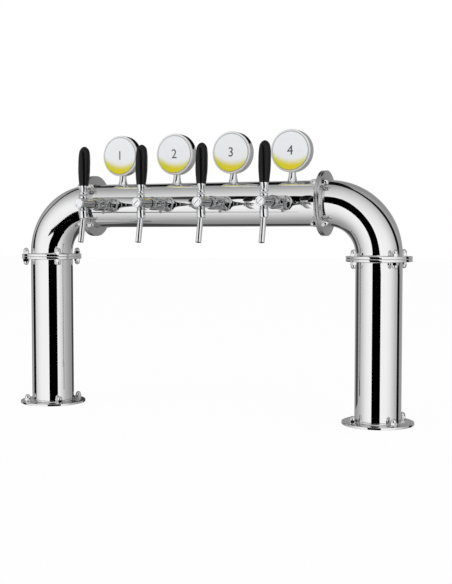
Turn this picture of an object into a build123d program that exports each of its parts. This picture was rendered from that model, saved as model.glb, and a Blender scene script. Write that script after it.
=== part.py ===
from build123d import *
import os
from math import sqrt

# A bridge-shaped beer tower: two columns and two elbows carry a crossbar with four taps,
# each with a round medallion above it.
# Millimetres. X runs along the bar, Y to the rear, Z up; the taps face -Y. The origin is
# midway between the columns, at the underside of their base flanges.

# --- Driving dimensions: tubes and flanges ---
tube_d = 101.6                 # 4 inch tube
tube_wall = 2.0
column_spacing = 818.0
joint_height = 360.0           # middle of the gasket between column and elbow
elbow_bend_radius = 113.0
elbow_straight = 8.0           # straight end between the bend and the flange face
base_flange_rim = 15.5         # from the bolts' centres out to the rim
base_flange_t = 5.0
joint_flange_rim = 8.5         # from the bolts' centres out to the rim
joint_flange_t = 5.5
flange_edge = 0.6              # chamfer on flange rims
slip_gap = 0.05                # radial, between a flange and the tube it is welded to
weld_leg = 2.5
gasket_t = 1.0
gasket_inset = 1.5             # the gasket's rim lies this far inside the flange's rim

# --- Driving dimensions: bolts ---
bolt_setback = 12.7            # from the tube's wall out to the bolts' centres
bolts_per_flange = 4
bolt_start_angle = 45.0
bolt_d = 8.0
base_bolt_hole_d = 9.0         # medium fit, round the counter's studs
joint_bolt_hole_d = 8.4        # fine fit
nut_af = 13.0                  # domed nut, across flats
nut_hex_h = 6.5
nut_dome_d = 12.5
nut_h = 15.0
nut_foot_w = 0.9               # bearing chamfer under the nut
nut_foot_h = 0.6
nut_brow = 0.7                 # chamfer on top of the hexagon
nut_thread_gap = 0.15          # radial, between the stud and the nut's thread
nut_thread_depth = 9.5
nut_relief_r = 4.3             # runout above the thread
nut_blind_depth = 12.0
stud_end_gap = 0.6             # between the stud's end and the bottom of its blind nut
washer_d = 16.0
washer_t = 1.6
washer_gap = 0.2               # radial, round the bolt
thread_gap = 0.05              # radial, between a thread and what is screwed on it

# --- Driving dimensions: taps; a reach is measured forward of the bar's axis ---
tap_count = 4
tap_spacing = 141.0
seat_gap = 0.05                # radial, where a saddle sits on the tube
sliding_gap = 0.3              # radial, round a ball or a sliding piece
running_gap = 0.08             # radial, round a turning spindle
turned_edge = 0.5              # chamfer on the edges of small turned pieces
shank_r = 11.0
shank_bore_r = 3.5
shank_hole_gap = 0.35
shank_out = 27.2               # beyond the tube's wall
shank_thread_spare = 6.0       # thread behind the back nut
shank_chamfer = 1.0
shank_tail_l = 22.0
shank_tail_r = 5.2
barb_depth = 0.9
barb_count = 3
rosette_r = 17.0
rosette_front_r = 14.5
rosette_t = 14.0               # beyond the tube's wall
rosette_skirt = 1.5            # plain rim beyond the tube's crown
rosette_bell_r = 14.0
saddle_r = 16.0
saddle_t = 8.8
back_nut_af = 28.0
back_nut_t = 8.0
coupling_nut_r = 15.5
coupling_nut_lip = 2.6
coupling_nut_foot = 1.2        # chamfer at the rosette
coupling_nut_brow = 1.8        # chamfer at the front
coupling_play = 0.1
coupling_room = 0.4            # radial, round the washer and the tail's flange
coupling_nut_notches = 6
coupling_notch_r = 2.2
coupling_notch_out = 0.5       # the notch's centre lies outside the nut's rim
coupling_notch_start = 3.0
coupling_washer_t = 1.6
tail_flange_t = 3.8
tail_flange_r = 10.8
tail_neck_r = 9.3
tail_neck_l = 1.9              # between the coupling nut and the housing
inlet_r = 5.2
housing_r = 15.0
housing_back_w = 2.5           # bevel at the housing's back
housing_nose_w = 4.0           # rounded nose at the housing's front
housing_nose_l = 8.5
barrel_r = 10.6
barrel_bore_r = 8.6
barrel_nose = 18.0             # the barrel beyond the lever's axis
neck_ring_setback = 10.0       # from the housing to the ring
neck_ring_t = 5.0
neck_ring_r = 12.6
seat_ring_setback = 3.0        # from the neck ring's back to the seat ring's
seat_ring_t = 5.0
seat_ring_bore_r = 5.0
seat_ring_chamfer = 0.8
cap_r = 10.75
cap_t = 6.0
cap_spigot = 2.8
cap_edge = 0.8
cap_rim_w = 2.2
cap_groove_w = 0.7
cap_groove_depth = 1.0
cap_bevel = 0.7
cap_centre_w = 4.2             # from the cap's rim in to its flat centre
cap_centre_sink = 0.3
cap_slot_w = 2.4
cap_slot_depth = 2.0

# --- Driving dimensions: lever, handle and valve ---
lever_setback = 39.0           # from the seat ring's back to the lever's axis
pivot_rise = 12.5              # the ball's centre above the tap's axis
ball_r = 5.0
lever_lean = 3.0               # degrees, the handle leans back when closed
cup_rim = 1.0                  # the cup's straight rim above the ball's centre
bonnet_r = 9.2
bonnet_seat_drop = 1.6         # below the ball's centre
neck_thread_r = 6.5
neck_end_gap = 0.1
bonnet_edge_rise = 3.1         # above the ball's centre
bonnet_top_rise = 4.9
bonnet_crown_w = 1.4
bonnet_mouth_r = 4.2
lever_ring_rise = 6.9          # the lever ring's underside above the ball's centre
lever_ring_t = 4.4
lever_ring_edge = 0.6
lever_ring_shoulder = 1.0
shoulder_inset = 0.4
lever_stem_r = 2.4
lever_stud_r = 4.0
lever_stud_length = 37.0
lever_stud_chamfer = 1.0
finger_r = 1.4
finger_ball_r = 2.2
finger_hole_r = 3.8
ferrule_h = 13.4
ferrule_bottom_r = 6.35
ferrule_top_r = 8.9
ferrule_band = 1.0             # plain band at the ferrule's top
handle_h = 87.1
handle_r = 13.2
handle_foot_r = 10.3
handle_foot_edge = 0.8
handle_belly = 0.46            # share of the handle's height at its widest
handle_shoulder_r = 11.5
handle_shoulder_drop = 12.0    # below the handle's top
handle_end_gap = 0.5           # above the stud's end
valve_head_r = seat_ring_bore_r - sliding_gap
valve_head_lead = 1.5          # the head's back behind the seat ring's back
valve_head_t = 6.0
valve_head_edge = 0.8
valve_head_taper = 1.0
valve_rod_r = 2.6
valve_collar_r = 5.0
valve_collar_l = 16.0
finger_pocket = 5.2            # length along the shaft at the finger's ball
finger_slot = 8.4              # wider slot above it, for the tilting finger
finger_slot_gap = 0.2
valve_guide_gap = 2.0
valve_guide_t = 3.0

# --- Driving dimensions: flow control and spout ---
hub_setback = 40.0             # from the housing's back to the side spindle's axis
hub_r = 8.4
hub_margin = 0.6               # from the hub to the housing's nose
hub_out = 9.0                  # beyond the housing's side
hub_edge = 0.8
spindle_r = 5.0
spindle_clear = 0.6            # from the body's bore out to the spindle's end
knob_gap = 0.4
knob_r = 7.2
knob_t = 6.6
knob_edge = 1.0
eccentric = 3.0                # the pin's offset from the spindle's axis
pin_r = 1.4
pin_clear = 0.6                # from the groove's floor out to the pin's tip
flow_arm_forward = 22.0
flow_arm_drop = 19.0
flow_arm_t = 4.0
flow_arm_root_r = 4.8
flow_arm_end_r = 2.2
flow_ball_r = 3.4
cone_start = 4.0               # from the housing's back to the start of the conical bore
cone_setback = 6.0             # from the cone's wide end to the side spindle's axis
compensator_start = 3.0        # behind it the cone's tip has room
compensator_tip_r = 4.4
compensator_nose_l = 1.5
compensator_nose_r = 7.0
compensator_cone_gap = 0.4
compensator_shoulder = 2.0
compensator_guide_gap = 0.6
compensator_guide_lead = 1.0   # from the cone's wide end to the guide
compensator_end = 8.0          # beyond the side spindle's axis
compensator_edge = 0.6
groove_floor_r = 4.6
groove_w = 3.8
flute_r = 2.0
flute_out = 0.4                # the flute's centre lies outside the guide's rim
flute_lead = 4.0
flutes = 4
spout_boss_r = 8.6
spout_seat_drop = 15.8
spout_thread_r = 7.0
spout_thread_l = 7.2
spout_thread_end = 0.4
spout_sleeve_r = 9.25
spout_sleeve_l = 18.2
spout_sleeve_foot = 1.5
spout_r = 6.2
spout_bore_r = 4.8
spout_lean = 14.0              # degrees forward
spout_bend = 11.2              # below the sleeve's top
spout_l = 60.2

# --- Driving dimensions: medallions ---
medallion_r = 47.5
medallion_turn = 4.5           # degrees, each one turned a little to the left
medallion_depth = 21.0
medallion_wall = 1.5
medallion_corner = 4.0
lens_bevel = 3.0
lens_lip = 1.0                 # the lens's rim reaches this far into its housing
lens_rib = 4.7
lens_margin = 0.3
print_disc_w = 4.5             # from the medallion's rim in to the disc's
print_disc_t = 0.6
board_gap = 0.4
board_t = 1.6
board_eye_r = 5.0
board_seat = 1.6               # width of the ledge under the board
board_ledge = 6.0              # height of the ledge above the housing's back
stem_h = 18.6                  # from the tube up to the medallion
stem_top_r = 8.0
stem_foot_r = 11.6
stem_foot_flare = 0.55         # across for each 1 up, where the flare starts
stem_spigot_r = 4.9
stem_bore_r = 2.6
stem_tail = 13.0               # below the inside of the bar's wall
stem_boss_r = 6.6              # threaded boss inside the medallion's housing
stem_boss_h = 9.0
stem_nut_af = 15.0
stem_nut_t = 5.0
stem_hole_gap = 0.3

# --- Derived places: frame ---
tube_r = tube_d / 2
bore_r = tube_r - tube_wall
column_x = column_spacing / 2
column_top = joint_height - gasket_t / 2
elbow_foot = joint_height + gasket_t / 2
elbow_reach = elbow_bend_radius + elbow_straight
bar_height = elbow_foot + elbow_reach
elbow_mouth = column_x - elbow_reach
bar_joint_x = elbow_mouth - gasket_t / 2
bar_end = elbow_mouth - gasket_t
bolt_circle_r = tube_r + bolt_setback
base_flange_r = bolt_circle_r + base_flange_rim
joint_flange_r = bolt_circle_r + joint_flange_rim

# --- Derived places: taps, from the bar outwards ---
tap_places = [(n - (tap_count - 1) / 2) * tap_spacing for n in range(tap_count)]
rosette_front = tube_r + rosette_t
shank_front = tube_r + shank_out
saddle_back = bore_r - saddle_t
shank_thread_back = saddle_back - back_nut_t - shank_thread_spare
shank_tail_back = shank_thread_back - shank_tail_l
body_tail = shank_front + coupling_washer_t
coupling_nut_front = body_tail + tail_flange_t + coupling_play + coupling_nut_lip
housing_back = coupling_nut_front + tail_neck_l
hub_reach = housing_back + hub_setback
housing_front = hub_reach + hub_r + hub_margin
hub_end = housing_r + hub_out
neck_ring_back = housing_front + neck_ring_setback
seat_ring_back = neck_ring_back + seat_ring_setback
lever_reach = seat_ring_back + lever_setback
barrel_front = lever_reach + barrel_nose
valve_head_back = seat_ring_back - valve_head_lead
valve_guide_back = lever_reach + valve_collar_l / 2 + valve_guide_gap
cone_back = housing_back + cone_start
cone_front = hub_reach - cone_setback
compensator_back = cone_back + compensator_start
compensator_guide_back = cone_front + compensator_guide_lead
compensator_front = hub_reach + compensator_end
compensator_guide_r = barrel_bore_r - compensator_guide_gap
compensator_cone_r = compensator_guide_r - compensator_cone_gap
spindle_inner = barrel_bore_r + spindle_clear
pin_tip = groove_floor_r + pin_clear
pivot_height = bar_height + pivot_rise
cup_r = ball_r + sliding_gap
bonnet_seat = pivot_rise - bonnet_seat_drop
neck_thread_top = pivot_rise - neck_end_gap
bonnet_edge = pivot_rise + bonnet_edge_rise
bonnet_top = pivot_rise + bonnet_top_rise
spout_bend_drop = spout_seat_drop + spout_bend

# --- Derived places: medallions ---
medallion_rise = tube_r + stem_h + medallion_r
medallion_height = bar_height + medallion_rise
housing_half = medallion_depth / 2
print_disc_r = medallion_r - print_disc_w
board_r = medallion_r - medallion_wall - board_gap


def tap_plane(x):
    """Level plane through a tap's axis: local x across, local y forward."""
    return Plane(origin=(x, 0, bar_height), x_dir=(1, 0, 0), z_dir=(0, 0, -1))


def tap_axis(x):
    return Axis((x, 0, bar_height), (0, -1, 0))


def lever_plane(x):
    """Upright plane through the lever and the spout: local x across, local y up."""
    return Plane(origin=(x, -lever_reach, bar_height), x_dir=(1, 0, 0), z_dir=(0, -1, 0))


def lever_axis(x):
    return Axis((x, -lever_reach, bar_height), (0, 0, 1))


def leaning_plane(x):
    """The handle's own upright plane, leaning back about the ball's centre."""
    upright = Plane(origin=(x, -lever_reach, pivot_height), x_dir=(1, 0, 0), z_dir=(0, -1, 0))
    return upright.rotated((-lever_lean, 0, 0))


def side_plane(x, reach, out):
    """Plane facing +X at a distance out from a tap's axis: local x rearward, local y up."""
    return Plane(origin=(x + out, -reach, bar_height), x_dir=(0, 1, 0), z_dir=(1, 0, 0))


def medallion_plane(x):
    """Level plane through a medallion's centre, turned with it: local y out of its face."""
    level = Plane(origin=(x, 0, medallion_height), x_dir=(1, 0, 0), z_dir=(0, 0, -1))
    return level.rotated((0, 0, medallion_turn))


def bolt_pattern():
    return PolarLocations(bolt_circle_r, bolts_per_flange, start_angle=bolt_start_angle)


def gather(pieces):
    """One node that holds several like pieces."""
    with BuildPart() as node:
        for piece in pieces:
            add(piece.part)
    return node


def save(piece, name):
    piece.part.label = name
    export_step(piece.part, f"parts/{name}.step")


os.makedirs("parts", exist_ok=True)

joint_planes = [
    Plane(origin=(side * column_x, 0, joint_height), x_dir=(1, 0, 0), z_dir=(0, 0, 1))
    for side in (-1, 1)
] + [
    Plane(origin=(side * bar_joint_x, 0, bar_height), x_dir=(0, 1, 0), z_dir=(side, 0, 0))
    for side in (-1, 1)
]
base_planes = [Plane(origin=(side * column_x, 0, 0)) for side in (-1, 1)]


# --- Columns, elbows and crossbar: plain tubes, with a flange welded on each end ---
def make_flange(face, flange_r, thickness, hole_d):
    """A ring on a tube's end, its back on the given plane, which looks along the tube."""
    flange_bore_r = tube_r + slip_gap
    with BuildPart() as flange:
        with BuildSketch(Plane(origin=face.origin, x_dir=face.x_dir,
                               z_dir=face.x_dir.cross(face.z_dir))):
            with BuildLine():
                Polyline(
                    (flange_bore_r, 0),
                    (flange_r - flange_edge, 0),
                    (flange_r, flange_edge),
                    (flange_r, thickness - flange_edge),
                    (flange_r - flange_edge, thickness),
                    (tube_r + weld_leg, thickness),
                    (flange_bore_r, thickness + weld_leg),
                    close=True,
                )
            make_face()
        revolve(axis=Axis(face.origin, face.z_dir))
        with BuildSketch(face):
            with bolt_pattern():
                Circle(hole_d / 2)
        extrude(amount=thickness, mode=Mode.SUBTRACT)
    return flange


def make_column(x):
    with BuildPart() as column:
        with BuildSketch(Plane(origin=(x, 0, 0))):
            Circle(tube_r)
            Circle(bore_r, mode=Mode.SUBTRACT)
        extrude(amount=column_top)
    return column


def make_elbow(side):
    x = side * column_x
    with BuildPart() as elbow:
        with BuildLine(Plane.XZ):
            rise = Line((x, elbow_foot), (x, elbow_foot + elbow_straight))
            bend = JernArc(rise @ 1, rise % 1, elbow_bend_radius, side * 90)
            Line(bend @ 1, (side * elbow_mouth, bar_height))
        with BuildSketch(Plane(origin=(x, 0, elbow_foot))):
            Circle(tube_r)
            Circle(bore_r, mode=Mode.SUBTRACT)
        sweep()
    return elbow


joint_faces = []
for side, name in ((-1, "left"), (1, "right")):
    x = side * column_x
    save(make_column(x), f"{name}_column")
    save(make_elbow(side), f"{name}_elbow")
    joint_faces += [
        Plane(origin=(x, 0, column_top), x_dir=(1, 0, 0), z_dir=(0, 0, -1)),
        Plane(origin=(x, 0, elbow_foot)),
        Plane(origin=(side * elbow_mouth, 0, bar_height), x_dir=(0, 1, 0), z_dir=(side, 0, 0)),
        Plane(origin=(side * bar_end, 0, bar_height), x_dir=(0, 1, 0), z_dir=(-side, 0, 0)),
    ]

save(gather([make_flange(face, base_flange_r, base_flange_t, base_bolt_hole_d)
             for face in base_planes]), "base_flanges")
save(gather([make_flange(face, joint_flange_r, joint_flange_t, joint_bolt_hole_d)
             for face in joint_faces]), "joint_flanges")

with BuildPart() as crossbar:
    with BuildSketch(Plane(origin=(0, 0, bar_height), x_dir=(0, 1, 0), z_dir=(1, 0, 0))):
        Circle(tube_r)
        Circle(bore_r, mode=Mode.SUBTRACT)
    extrude(amount=bar_end, both=True)
    for x in tap_places:
        with Locations(Plane(origin=(x, -tube_r, bar_height), z_dir=(0, -1, 0))):
            Hole(shank_r + shank_hole_gap, depth=tube_r)
        with Locations(Plane(origin=(x, 0, bar_height + tube_r))):
            Hole(stem_spigot_r + stem_hole_gap, depth=tube_r)
save(crossbar, "crossbar")


# --- Bolted joints: gaskets, studs and domed nuts ---
with BuildPart() as joint_gaskets:
    for joint in joint_planes:
        with BuildSketch(joint):
            Circle(joint_flange_r - gasket_inset)
            Circle(bore_r, mode=Mode.SUBTRACT)
            with bolt_pattern():
                Circle(joint_bolt_hole_d / 2, mode=Mode.SUBTRACT)
        extrude(amount=gasket_t / 2, both=True)
save(joint_gaskets, "joint_gaskets")

joint_half = gasket_t / 2 + joint_flange_t
stud_half = joint_half + nut_blind_depth - stud_end_gap
with BuildPart() as joint_studs:
    for joint in joint_planes:
        with BuildSketch(joint):
            with bolt_pattern():
                Circle(bolt_d / 2)
        extrude(amount=stud_half, both=True)
save(joint_studs, "joint_studs")

with BuildPart() as domed_nut:
    corner_r = nut_af / sqrt(3)
    with BuildSketch():
        RegularPolygon(nut_af / 2, 6, major_radius=False)
    extrude(amount=nut_hex_h)
    with BuildSketch(Plane.XZ):
        with BuildLine():
            dome_side = Polyline(
                (0, 0), (corner_r - nut_foot_w, 0), (corner_r, nut_foot_h),
                (corner_r, nut_hex_h - nut_brow),
                (nut_dome_d / 2, nut_hex_h), (nut_dome_d / 2, nut_h - nut_dome_d / 2),
            )
            RadiusArc(dome_side @ 1, (0, nut_h), -nut_dome_d / 2)
            Line((0, nut_h), (0, 0))
        make_face()
    dome = revolve(axis=Axis.Z, mode=Mode.PRIVATE)
    with BuildSketch(Plane.XY.offset(nut_hex_h)):
        Circle(nut_dome_d / 2)
    extrude(amount=nut_h - nut_hex_h)
    add(dome, mode=Mode.INTERSECT)
    with BuildSketch():
        Circle(bolt_d / 2 + nut_thread_gap)
    extrude(amount=nut_thread_depth, mode=Mode.SUBTRACT)
    with BuildSketch(Plane.XY.offset(nut_thread_depth)):
        Circle(nut_relief_r)
    extrude(amount=nut_blind_depth - nut_thread_depth, mode=Mode.SUBTRACT)


def nut_seats(joint):
    """The two outer faces of a bolted joint, each looking away from it."""
    return (
        joint.offset(joint_half),
        Plane(origin=joint.offset(-joint_half).origin, x_dir=joint.x_dir, z_dir=-joint.z_dir),
    )


with BuildPart() as joint_acorn_nuts:
    for joint in joint_planes:
        for seat in nut_seats(joint):
            with Locations(seat):
                with bolt_pattern():
                    add(domed_nut.part)
save(joint_acorn_nuts, "joint_acorn_nuts")

with BuildPart() as base_washers:
    for base in base_planes:
        with BuildSketch(base.offset(base_flange_t)):
            with bolt_pattern():
                Circle(washer_d / 2)
                Circle(bolt_d / 2 + washer_gap, mode=Mode.SUBTRACT)
        extrude(amount=washer_t)
save(base_washers, "base_washers")

with BuildPart() as base_acorn_nuts:
    for base in base_planes:
        with Locations(base.offset(base_flange_t + washer_t)):
            with bolt_pattern():
                add(domed_nut.part)
save(base_acorn_nuts, "base_acorn_nuts")


# --- Medallions: chrome cup, light board, bevelled lens and printed disc on a flared stem ---
def make_medallion_housing(x):
    face = medallion_plane(x)
    with BuildPart() as housing:
        with BuildSketch(face):
            with BuildLine():
                back = Line((0, -housing_half), (medallion_r - medallion_corner, -housing_half))
                corner = TangentArc(
                    back @ 1, (medallion_r, medallion_corner - housing_half), tangent=back % 1
                )
                Polyline(
                    corner @ 1,
                    (medallion_r, housing_half),
                    (medallion_r - medallion_wall, housing_half),
                    (medallion_r - medallion_wall, board_ledge - housing_half),
                    (board_r - board_seat, board_ledge - housing_half),
                    (board_r - board_seat, medallion_corner - housing_half),
                    (medallion_r - medallion_corner - medallion_wall,
                     medallion_wall - housing_half),
                    (0, medallion_wall - housing_half),
                    (0, -housing_half),
                )
            make_face()
        revolve(axis=Axis(face.origin, face.y_dir))
        boss_foot = medallion_height - medallion_r + medallion_wall / 2
        with BuildSketch(Plane(origin=(x, 0, boss_foot))):
            Circle(stem_boss_r)
        extrude(amount=stem_boss_h)
        with BuildSketch(Plane(origin=(x, 0, medallion_height - medallion_r))):
            Circle(stem_spigot_r + thread_gap)
        extrude(amount=stem_boss_h + medallion_wall, mode=Mode.SUBTRACT)
    return housing


def make_turned(planes, profile):
    """One node of like turned pieces: the same profile spun about each plane's local y."""
    with BuildPart() as pieces:
        for plane in planes:
            with BuildSketch(plane):
                with BuildLine():
                    Polyline(*profile, close=True)
                make_face()
            revolve(axis=Axis(plane.origin, plane.y_dir))
    return pieces


medallion_faces = [medallion_plane(x) for x in tap_places]
for number, x in enumerate(tap_places, start=1):
    save(make_medallion_housing(x), f"medallion_{number}_housing")

lens_r = medallion_r - medallion_wall - thread_gap
lens_front = housing_half + lens_bevel
medallion_lenses = make_turned(medallion_faces, [
    (0, housing_half),
    (lens_r - lens_rib, housing_half),
    (lens_r - lens_rib, housing_half - lens_lip),
    (lens_r, housing_half - lens_lip),
    (lens_r, housing_half),
    (medallion_r, housing_half),
    (print_disc_r + lens_margin, lens_front),
    (0, lens_front),
])
save(medallion_lenses, "medallion_lenses")

medallion_print_discs = make_turned(medallion_faces, [
    (0, lens_front),
    (print_disc_r, lens_front),
    (print_disc_r, lens_front + print_disc_t / 2),
    (print_disc_r - print_disc_t / 2, lens_front + print_disc_t),
    (0, lens_front + print_disc_t),
])
save(medallion_print_discs, "medallion_print_discs")

board_back = board_ledge - housing_half
with BuildPart() as medallion_led_boards:
    for x in tap_places:
        face = medallion_plane(x)
        with BuildSketch(Plane(origin=face.from_local_coords((0, board_back, 0)),
                               x_dir=face.x_dir, z_dir=face.y_dir)):
            Circle(board_r)
            Circle(board_eye_r, mode=Mode.SUBTRACT)
            with Locations((0, -board_r)):
                Rectangle(2 * (stem_boss_r + sliding_gap),
                          2 * (stem_boss_h + sliding_gap), mode=Mode.SUBTRACT)
        extrude(amount=board_t)
save(medallion_led_boards, "medallion_led_boards")

stem_base = bar_height + sqrt(tube_r**2 - stem_foot_r**2)
stem_saddle_top = medallion_height - sqrt(medallion_r**2 - stem_top_r**2)
stem_end = bar_height + bore_r - stem_tail
stem_spigot_top = medallion_height - medallion_r + medallion_wall / 2 + stem_boss_h
with BuildPart() as medallion_stems:
    for x in tap_places:
        with BuildSketch(Plane(origin=(x, 0, 0), x_dir=(1, 0, 0), z_dir=(0, -1, 0))):
            with BuildLine():
                flare = Line((0, stem_base), (stem_foot_r, stem_base))
                waist = Spline(
                    flare @ 1, (stem_top_r, stem_saddle_top),
                    tangents=((-stem_foot_flare, 1), (0, 1)),
                )
                Polyline(waist @ 1, (0, stem_saddle_top), (0, stem_base))
            make_face()
        revolve(axis=Axis((x, 0, 0), (0, 0, 1)))
    with BuildSketch(Plane(origin=(0, 0, bar_height), x_dir=(0, 1, 0), z_dir=(1, 0, 0))):
        Circle(tube_r + seat_gap)
    extrude(amount=bar_end, both=True, mode=Mode.SUBTRACT)
    for x in tap_places:
        face = medallion_plane(x)
        with BuildSketch(Plane(origin=face.origin, x_dir=face.x_dir, z_dir=face.y_dir)):
            Circle(medallion_r + seat_gap)
        extrude(amount=medallion_r, both=True, mode=Mode.SUBTRACT)
        with BuildSketch(Plane(origin=(x, 0, stem_end))):
            Circle(stem_spigot_r)
        extrude(amount=stem_spigot_top - stem_end)
        with BuildSketch(Plane(origin=(x, 0, stem_end))):
            Circle(stem_bore_r)
        extrude(amount=stem_spigot_top - stem_end, mode=Mode.SUBTRACT)
save(medallion_stems, "medallion_stems")

inner_crown = bar_height + sqrt(bore_r**2 - (stem_nut_af / sqrt(3))**2)
with BuildPart() as medallion_stem_nuts:
    for x in tap_places:
        with BuildSketch(Plane(origin=(x, 0, inner_crown - seat_gap), z_dir=(0, 0, -1))):
            RegularPolygon(stem_nut_af / 2, 6, major_radius=False)
            Circle(stem_spigot_r + thread_gap, mode=Mode.SUBTRACT)
        extrude(amount=stem_nut_t)
save(medallion_stem_nuts, "medallion_stem_nuts")


# --- Tap mountings: shank through the bar's wall, rosette, saddle washer and nuts ---
tap_planes = [tap_plane(x) for x in tap_places]
barb_pitch = shank_tail_l / (barb_count + 1)
barb_foot_r = shank_tail_r - barb_depth
barbs = []
for step in range(barb_count):
    foot = shank_tail_back + step * barb_pitch
    barbs += [(barb_foot_r, foot), (shank_tail_r, foot + barb_pitch)]
tap_shanks = make_turned(tap_planes, [
    (shank_bore_r, shank_tail_back),
    *barbs,
    (barb_foot_r, shank_tail_back + barb_count * barb_pitch),
    (barb_foot_r, shank_thread_back),
    (shank_r - shank_chamfer, shank_thread_back),
    (shank_r, shank_thread_back + shank_chamfer),
    (shank_r, shank_front),
    (shank_bore_r, shank_front),
])
save(tap_shanks, "tap_shanks")

rosette_back = sqrt(tube_r**2 - rosette_r**2)
with BuildPart() as shank_rosettes:
    for x in tap_places:
        with BuildSketch(tap_plane(x)):
            with BuildLine():
                bottom = Polyline((shank_r + shank_hole_gap, rosette_back),
                                  (rosette_r, rosette_back),
                                  (rosette_r, tube_r + rosette_skirt))
                bell = RadiusArc(bottom @ 1, (rosette_front_r, rosette_front),
                                 rosette_bell_r)
                Polyline(bell @ 1, (shank_r + shank_hole_gap, rosette_front),
                         (shank_r + shank_hole_gap, rosette_back))
            make_face()
        revolve(axis=tap_axis(x))
    with BuildSketch(Plane(origin=(0, 0, bar_height), x_dir=(0, 1, 0), z_dir=(1, 0, 0))):
        Circle(tube_r + seat_gap)
    extrude(amount=bar_end, both=True, mode=Mode.SUBTRACT)
save(shank_rosettes, "shank_rosettes")

with BuildPart() as shank_saddle_washers:
    for plane in tap_planes:
        with BuildSketch(Plane(origin=plane.from_local_coords((0, saddle_back, 0)),
                               x_dir=plane.x_dir, z_dir=plane.y_dir)):
            Circle(saddle_r)
            Circle(shank_r + shank_hole_gap, mode=Mode.SUBTRACT)
        extrude(amount=tube_r - saddle_back)
    with BuildSketch(Plane(origin=(0, 0, bar_height), x_dir=(0, 1, 0), z_dir=(1, 0, 0))):
        Circle(bore_r - seat_gap)
    extrude(amount=bar_end, both=True, mode=Mode.INTERSECT)
save(shank_saddle_washers, "shank_saddle_washers")

with BuildPart() as shank_back_nuts:
    for x in tap_places:
        with BuildSketch(Plane(origin=(x, -saddle_back, bar_height), x_dir=(1, 0, 0),
                               z_dir=(0, 1, 0))):
            RegularPolygon(back_nut_af / 2, 6, major_radius=False)
            Circle(shank_r + thread_gap, mode=Mode.SUBTRACT)
        extrude(amount=back_nut_t)
save(shank_back_nuts, "shank_back_nuts")

coupling_washers = make_turned(tap_planes, [
    (shank_bore_r, shank_front),
    (tail_flange_r, shank_front),
    (tail_flange_r, body_tail),
    (shank_bore_r, body_tail),
])
save(coupling_washers, "coupling_washers")

with BuildPart() as coupling_nuts:
    lip_back = coupling_nut_front - coupling_nut_lip
    for x in tap_places:
        with BuildSketch(tap_plane(x)):
            with BuildLine():
                Polyline(
                    (shank_r + thread_gap, rosette_front),
                    (coupling_nut_r - coupling_nut_foot, rosette_front),
                    (coupling_nut_r, rosette_front + coupling_nut_foot),
                    (coupling_nut_r, coupling_nut_front - coupling_nut_brow),
                    (coupling_nut_r - coupling_nut_brow, coupling_nut_front),
                    (tail_neck_r + sliding_gap, coupling_nut_front),
                    (tail_neck_r + sliding_gap, lip_back),
                    (shank_r + coupling_room, lip_back),
                    (shank_r + coupling_room, shank_front - shank_chamfer),
                    (shank_r + thread_gap, shank_front - shank_chamfer),
                    close=True,
                )
            make_face()
        revolve(axis=tap_axis(x))
        with BuildSketch(Plane(origin=(x, -rosette_front - coupling_notch_start, bar_height),
                               x_dir=(1, 0, 0), z_dir=(0, -1, 0))):
            with PolarLocations(coupling_nut_r + coupling_notch_out, coupling_nut_notches):
                Circle(coupling_notch_r)
        extrude(amount=coupling_nut_front - rosette_front, mode=Mode.SUBTRACT)
save(coupling_nuts, "coupling_nuts")

valve_seats = make_turned(tap_planes, [
    (seat_ring_bore_r, seat_ring_back),
    (barrel_bore_r - thread_gap, seat_ring_back),
    (barrel_bore_r - thread_gap, seat_ring_back + seat_ring_t),
    (seat_ring_bore_r + seat_ring_chamfer, seat_ring_back + seat_ring_t),
    (seat_ring_bore_r, seat_ring_back + seat_ring_t - seat_ring_chamfer),
])
save(valve_seats, "valve_seats")


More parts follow.
